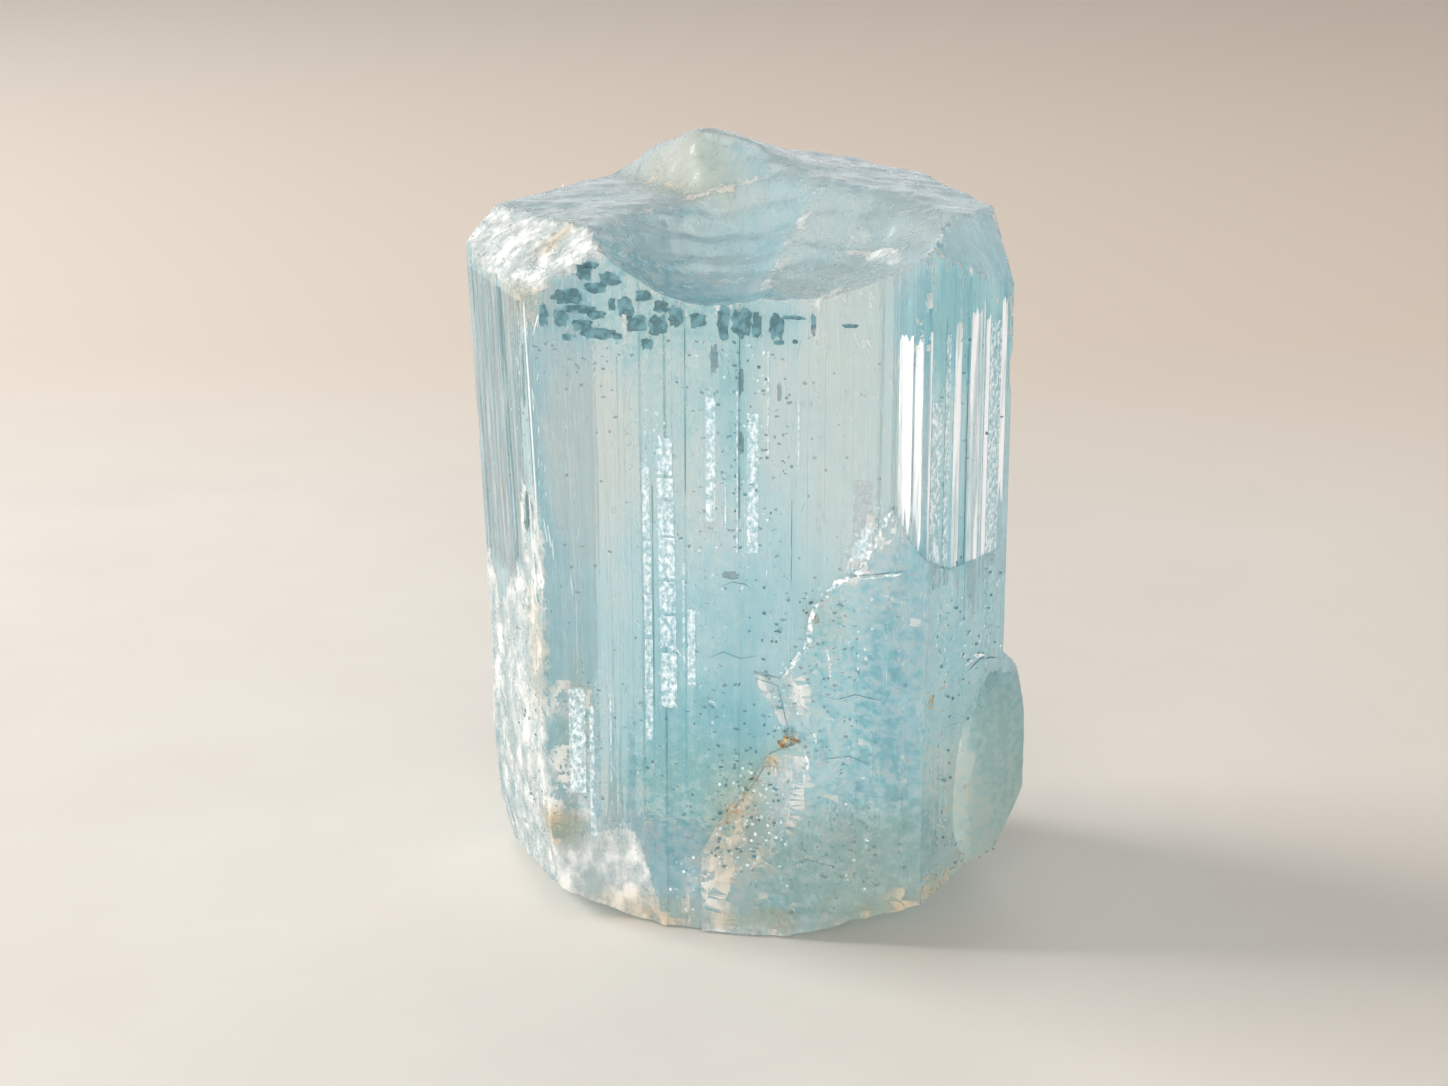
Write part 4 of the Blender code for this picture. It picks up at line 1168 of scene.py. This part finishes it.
def clear_beryl():
    """Clear to hazy beryl: see-through, striated along its length, blue-green in its depth."""
    mix = Mix("clear beryl")
    haze, mosaic, upright = mix.attribute("haze"), mix.attribute("mosaic"), mix.attribute("upright")
    lines = mix.grain((900.0, 900.0, 26.0), 2.0, 0.65)
    fine_lines = mix.grain((3600.0, 3600.0, 70.0), 1.0)
    grit = mix.grain((2600.0, 2600.0, 2600.0), 1.0)
    cloud = mix.grain((240.0, 240.0, 110.0), 3.0, 0.65)
    cells = mix.grain((1400.0, 1400.0, 1800.0), 1.0, 0.7)
    streaks = mix.add(mix.times(lines, 0.7), mix.times(fine_lines, 0.3))
    uneven = mix.add(mix.times(mix.level(streaks, 0.3, 0.7, -0.2, 0.2), upright),
                     mix.level(cloud, 0.3, 0.7, -0.34, 0.34))
    pieces = mix.times(mosaic, mix.level(cells, 0.32, 0.68, -0.75, 0.75))
    depth = mix.level(mix.add(mix.add(mix.attribute("tone"), pieces), uneven), -1.0, 1.0)
    tint = mix.ramp(depth, (0.0, (0.92, 0.92, 0.88)), (0.35, (0.84, 0.91, 0.92)), (0.55, (0.69, 0.88, 0.94)),
                    (0.8, (0.48, 0.79, 0.87)), (1.0, (0.31, 0.65, 0.74)))
    tint = mix.blend(mix.times(mix.attribute("stain"), 1.1, clamp=True), tint, (0.72, 0.65, 0.42))
    roughness = mix.add(mix.times(haze, 0.62), mix.times(mix.level(lines, 0.42, 0.7), 0.2), clamp=True)
    height = mix.add(mix.times(streaks, mix.times(upright, 0.45)),
                     mix.add(mix.times(grit, mosaic), mix.times(cloud, mix.times(haze, 0.35))))
    mix.principled(Base_Color=tint, Roughness=roughness, IOR=BERYL_IOR, Transmission_Weight=0.74,
                   Normal=mix.relief(height, 0.00006))
    absorb = mix.node("ShaderNodeVolumeAbsorption", {"Color": ABSORBED, "Density": ABSORPTION})
    mix.link(absorb.outputs[0], mix.out.inputs["Volume"])
    return mix.material


def frosted_and_glint_beryl():
    """The white, sugary skin where the crystal is etched or bruised, which also carries the painted glints on
    the top and along sharp edges.
    """
    mix = Mix("frosted beryl")
    mottle = mix.grain((720.0, 720.0, 420.0), 3.0, 0.6)
    grit = mix.grain((4200.0, 4200.0, 4200.0), 1.0, 0.7)
    shade = mix.add(mix.times(mottle, 0.6), mix.times(grit, 0.4))
    colour = mix.ramp(shade, (0.34, (0.56, 0.68, 0.68)), (0.47, (0.72, 0.76, 0.75)),
                      (0.64, (0.87, 0.87, 0.83)))
    stain = mix.times(mix.attribute("stain"), mix.level(mottle, 0.35, 0.6, 0.4, 0.95))
    cover = mix.add(mix.level(mix.attribute("white"), 0.1, 0.9, 0.0, 0.66),
                    mix.level(mottle, 0.36, 0.62, -0.4, 0.45), clamp=True)
    height = mix.add(mix.times(mottle, 0.5), mix.times(grit, 0.5))
    mix.principled(Base_Color=mix.blend(stain, colour, (0.6, 0.4, 0.16)), IOR=1.5, Alpha=cover,
                   Roughness=mix.level(grit, 0.35, 0.65, 0.25, 0.6), Normal=mix.relief(height, 0.00009))
    return mix.material


# Speckled finishes: how much the specks are scaled, their detail, the roughness, the range of specks
# over which the cover goes from its least to its most, and the colours.
SPECKLED = {
    # Hollow tubes, and the white plates that paint bright reflections in the faces.
    "inner white": ((1800.0, 1800.0, 120.0), 3.0, 0.2, (0.34, 0.56, 0.3, 1.0),
                    (0.35, (0.88, 0.95, 0.97)), (0.55, (0.98, 0.99, 0.99))),
    # Half clear white of densely packed tubes.
    "milky beryl": ((3600.0, 3600.0, 2600.0), 2.0, 0.4, (0.34, 0.66, 0.24, 0.86),
                    (0.36, (0.6, 0.84, 0.9)), (0.64, (0.92, 0.98, 0.99))),
    # Fine growth lines that fade in and out along the crystal, and the painted shade streaked over the left
    # face.
    "soft line": ((2600.0, 2600.0, 200.0), 2.0, 0.5, (0.4, 0.6, 0.1, 0.85),
                  (0.35, (0.3, 0.42, 0.42)), (0.62, (0.1, 0.22, 0.24))),
    # Broken rims that sparkle in places.
    "sparkling rim": ((3200.0, 3200.0, 3200.0), 2.0, 0.25, (0.42, 0.6, 0.0, 0.95),
                      (0.35, (0.62, 0.8, 0.84)), (0.6, (0.97, 0.98, 0.98))),
    # Iron stain in the cracks, from dark brown to ochre.
    "rust": ((2200.0, 2200.0, 2200.0), 3.0, 0.7, (0.3, 0.5, 0.6, 1.0),
             (0.35, (0.1, 0.05, 0.025)), (0.5, (0.36, 0.19, 0.07)), (0.65, (0.68, 0.46, 0.2))),
    # The shaded walls of growth marks and healed cracks.
    "inner shade": ((1500.0, 1500.0, 1500.0), 2.0, 0.6, (0.35, 0.56, 0.4, 0.95),
                    (0.35, (0.04, 0.14, 0.17)), (0.65, (0.16, 0.33, 0.37))),
}


def speckled(name, factors, detail, roughness, cover, *colours):
    """A finish that covers more, in another colour, where its specks are strong."""
    mix = Mix(name)
    specks = mix.grain(factors, detail)
    mix.principled(Base_Color=mix.ramp(specks, *colours), Roughness=roughness,
                   Alpha=mix.level(specks, *cover))
    return mix.material


# ---- the camera, the light and the table ----

PICTURE_LENS = 70.0
SENSOR_WIDTH = 36.0
CAMERA_DISTANCE = 0.189
CAMERA_HEIGHT_ANGLE = math.radians(17.0)
LOOKED_AT = Vector((-0.00139, -0.00018, 0.0231))


def set_camera():
    """A long lens a hand's breadth away, looking slightly down on the front face."""
    lens = bpy.data.cameras.new("camera")
    lens.lens = PICTURE_LENS
    lens.sensor_width = SENSOR_WIDTH
    lens.clip_start = 0.001
    camera = add_object("camera", lens)
    away = Vector((0.0, -math.cos(CAMERA_HEIGHT_ANGLE), math.sin(CAMERA_HEIGHT_ANGLE)))
    camera.location = LOOKED_AT + away * CAMERA_DISTANCE
    camera.rotation_euler = (math.radians(90.0) - CAMERA_HEIGHT_ANGLE, 0.0, 0.0)
    bpy.context.scene.camera = camera


def add_softbox(name, place, aim, size, power, colour):
    """A square softbox at a place, turned to what it lights."""
    lamp = bpy.data.lights.new(name, "AREA")
    lamp.size = size
    lamp.energy = power
    lamp.color = colour
    softbox = add_object(name, lamp)
    softbox.location = place
    softbox.rotation_euler = (Vector(aim) - Vector(place)).to_track_quat("-Z", "Y").to_euler()


def set_light():
    """A bright room, with a large softbox behind and to the left."""
    world = bpy.data.worlds.new("room")
    world.use_nodes = True
    bpy.context.scene.world = world
    room = Nodes(world.node_tree)
    way = room.node("ShaderNodeTexCoord").outputs["Generated"]
    height = room.node("ShaderNodeSeparateXYZ", {0: way}).outputs["Z"]
    background = room.tree.nodes["Background"]
    room.link(room.ramp(height, (0.12, (1.02, 1.02, 1.04)), (0.75, (0.22, 0.22, 0.22))),
              background.inputs["Color"])
    background.inputs["Strength"].default_value = 1.0
    middle = (0.0, 0.0, 0.02)
    add_softbox("key softbox", (-0.56, 0.14, 0.36), middle, 0.32, 3.8, (1.0, 0.985, 0.96))
    add_softbox("top softbox", (0.1, 0.35, 0.6), middle, 0.3, 0.3, (1.0, 0.99, 0.97))
    add_softbox("front softbox", (-0.05, -0.82, 0.2), middle, 0.6, 4.3, (1.0, 1.0, 1.0))


def floor_finish():
    """Pale honed stone that turns to warm beige towards the back, with painted shade that makes it darker and
    warmer towards the right.
    """
    mix = Mix("pale stone floor")
    speck = mix.grain((60.0, 60.0, 60.0), 4.0)
    place = mix.node("ShaderNodeSeparateXYZ", {0: mix.place})
    near = mix.ramp(speck, (0.3, (0.78, 0.73, 0.665)), (0.7, (0.82, 0.775, 0.705)))
    # Painted shade: darker and warmer to the right, the side away from the key softbox.
    near = mix.blend(mix.level(place.outputs["X"], 0.0, 0.08), near, (0.79, 0.71, 0.62))
    far = mix.blend(mix.level(place.outputs["X"], -0.15, 0.15), (0.77, 0.68, 0.59), (0.75, 0.62, 0.51))
    colour = mix.blend(mix.level(place.outputs["Y"], 0.08, 0.16), near, far)
    mix.principled(Base_Color=colour, Roughness=0.7)
    return mix.material


def make_floor():
    """A plain pale floor, wide enough to fill every view."""
    shape = bmesh.new()
    bmesh.ops.create_grid(shape, x_segments=1, y_segments=1, size=3.0)
    floor = to_object("floor", shape)
    floor.data.transform(Matrix.Translation((0.0, 0.0, -0.00015)))
    floor.data.materials.append(floor_finish())


# ---- the crystal ----

RIM_RAGGEDNESS = 0.12
SKIN_LIFT = 0.02
SKIN_SINK = 0.05
SOFT_ANGLE = 24.0


def whitened(crystal):
    """The whitened parts of the crystal's surface, finely divided, with ragged rims."""
    shape = edited(crystal)
    white = shape.verts.layers.float["white"]
    far = [face for face in shape.faces if max(vert[white] for vert in face.verts) <= 0.0
           or max(vert.co.z for vert in face.verts) < CLEAR_OF_TABLE]
    bmesh.ops.delete(shape, geom=far, context="FACES")
    bmesh.ops.triangulate(shape, faces=shape.faces[:])
    bmesh.ops.subdivide_edges(shape, edges=shape.edges[:], cuts=1, use_grid_fill=True)
    clear = []
    for face in shape.faces:
        centre = face.calc_center_median()
        share = sum(vert[white] for vert in face.verts) / len(face.verts)
        patchy = 0.5 + 0.42 * noise.noise(centre * 0.9) + 0.34 * noise.noise(centre * 2.3) \
            + 0.3 * noise.noise(centre * 5.1)
        if patchy > share + RIM_RAGGEDNESS:
            clear.append(face)
    bmesh.ops.delete(shape, geom=clear, context="FACES")
    shape.normal_update()
    return shape


def make_skin(crystal):
    """A thin closed skin over the whitened parts of the surface."""
    shape = whitened(crystal)
    normals = {vert: vert.normal.copy() for vert in shape.verts}
    made = bmesh.ops.duplicate(shape, geom=shape.verts[:] + shape.edges[:] + shape.faces[:])
    under = {old: new for old, new in made["vert_map"].items()
             if isinstance(old, bmesh.types.BMVert) and old in normals}
    rim = [edge for edge in shape.edges if edge.is_boundary and edge.verts[0] in under
           and edge.verts[1] in under]
    for edge in rim:
        first, second = edge.link_loops[0].vert, edge.link_loops[0].link_loop_next.vert
        shape.faces.new((second, first, under[first], under[second]))
    for vert, low in under.items():
        low.co = vert.co - normals[vert] * SKIN_SINK
        vert.co = vert.co + normals[vert] * SKIN_LIFT
    bmesh.ops.reverse_faces(shape, faces=[face for face in made["geom"]
                                          if isinstance(face, bmesh.types.BMFace)])
    return to_object("skin", shape)


def make_crystal():
    """The crystal's body, its whitened skin and what lies at its faces."""
    crystal = make_crystal_shape()
    mark_surface(crystal)
    skin = make_skin(crystal)
    frosted = frosted_and_glint_beryl()
    flakes = grow_flakes("bright_flakes", to_object("flake source", whitened(crystal)), frosted)
    soften(crystal, SOFT_ANGLE)
    dress(crystal, "crystal_body", clear_beryl())
    # The frosted skin also carries the painted glints.
    dress(skin, "frosted_and_glint_skin", frosted)
    dress(flakes, "bright_flakes", frosted)
    finishes = {name: speckled(name, *given) for name, given in SPECKLED.items()}
    for name, columns, widths, heights, deepest, seed, finish in (
            ("growth_tubes", TUBE_COLUMNS, (0.03, 0.07), (0.2, 1.6), 1.6, 5, "inner white"),
            ("bright_steps", LADDERS, (0.05, 0.2), (0.04, 0.22), 0.1, 12, "milky beryl"),
            ("shaded_pits", PITS, (0.06, 0.3), (0.05, 0.2), 0.6, 13, "inner shade"),
            ("iron_stains", RUSTY_PLACES, (0.06, 0.28), (0.06, 0.24), 0.1, 14, "rust")):
        steps = grow_steps(name, columns, widths, heights, deepest, seed, finishes[finish])
        dress(steps, name, finishes[finish])
    for name, plates, thickness, finish in (
            # The white plates at the faces are a painted reflection.
            ("bright_inner_faces", ragged_plates(PAINTED_REFLECTION_PLATES, 3.0, 9), 0.04, "inner white"),
            ("milky_rungs", ragged_plates(RUNGS, 0.12, 16), 0.2, "milky beryl"),
            ("bright_rims", ragged_ribbons(BRIGHT_CRACKS, 17), 0.04, "sparkling rim"),
            ("shaded_cracks", ragged_ribbons(DARK_CRACKS, 18), 0.03, "inner shade"),
            # The wide shaded plates on the left face are painted shade.
            ("shaded_lines", ragged_plates(SHADED_LINES, 1.0, 15), 0.04, "soft line"),
            ("dark_growth_marks", squarish_blots(DARK_MARKS, 10), 0.04, "inner shade")):
        dress(make_plates(name, plates, thickness), name, finishes[finish])


make_crystal()
make_floor()
set_light()
set_camera()
scene = bpy.context.scene
scene.view_settings.view_transform = "Standard"
scene.cycles.transmission_bounces = 12
scene.cycles.transparent_max_bounces = 12
scene.cycles.max_bounces = 14
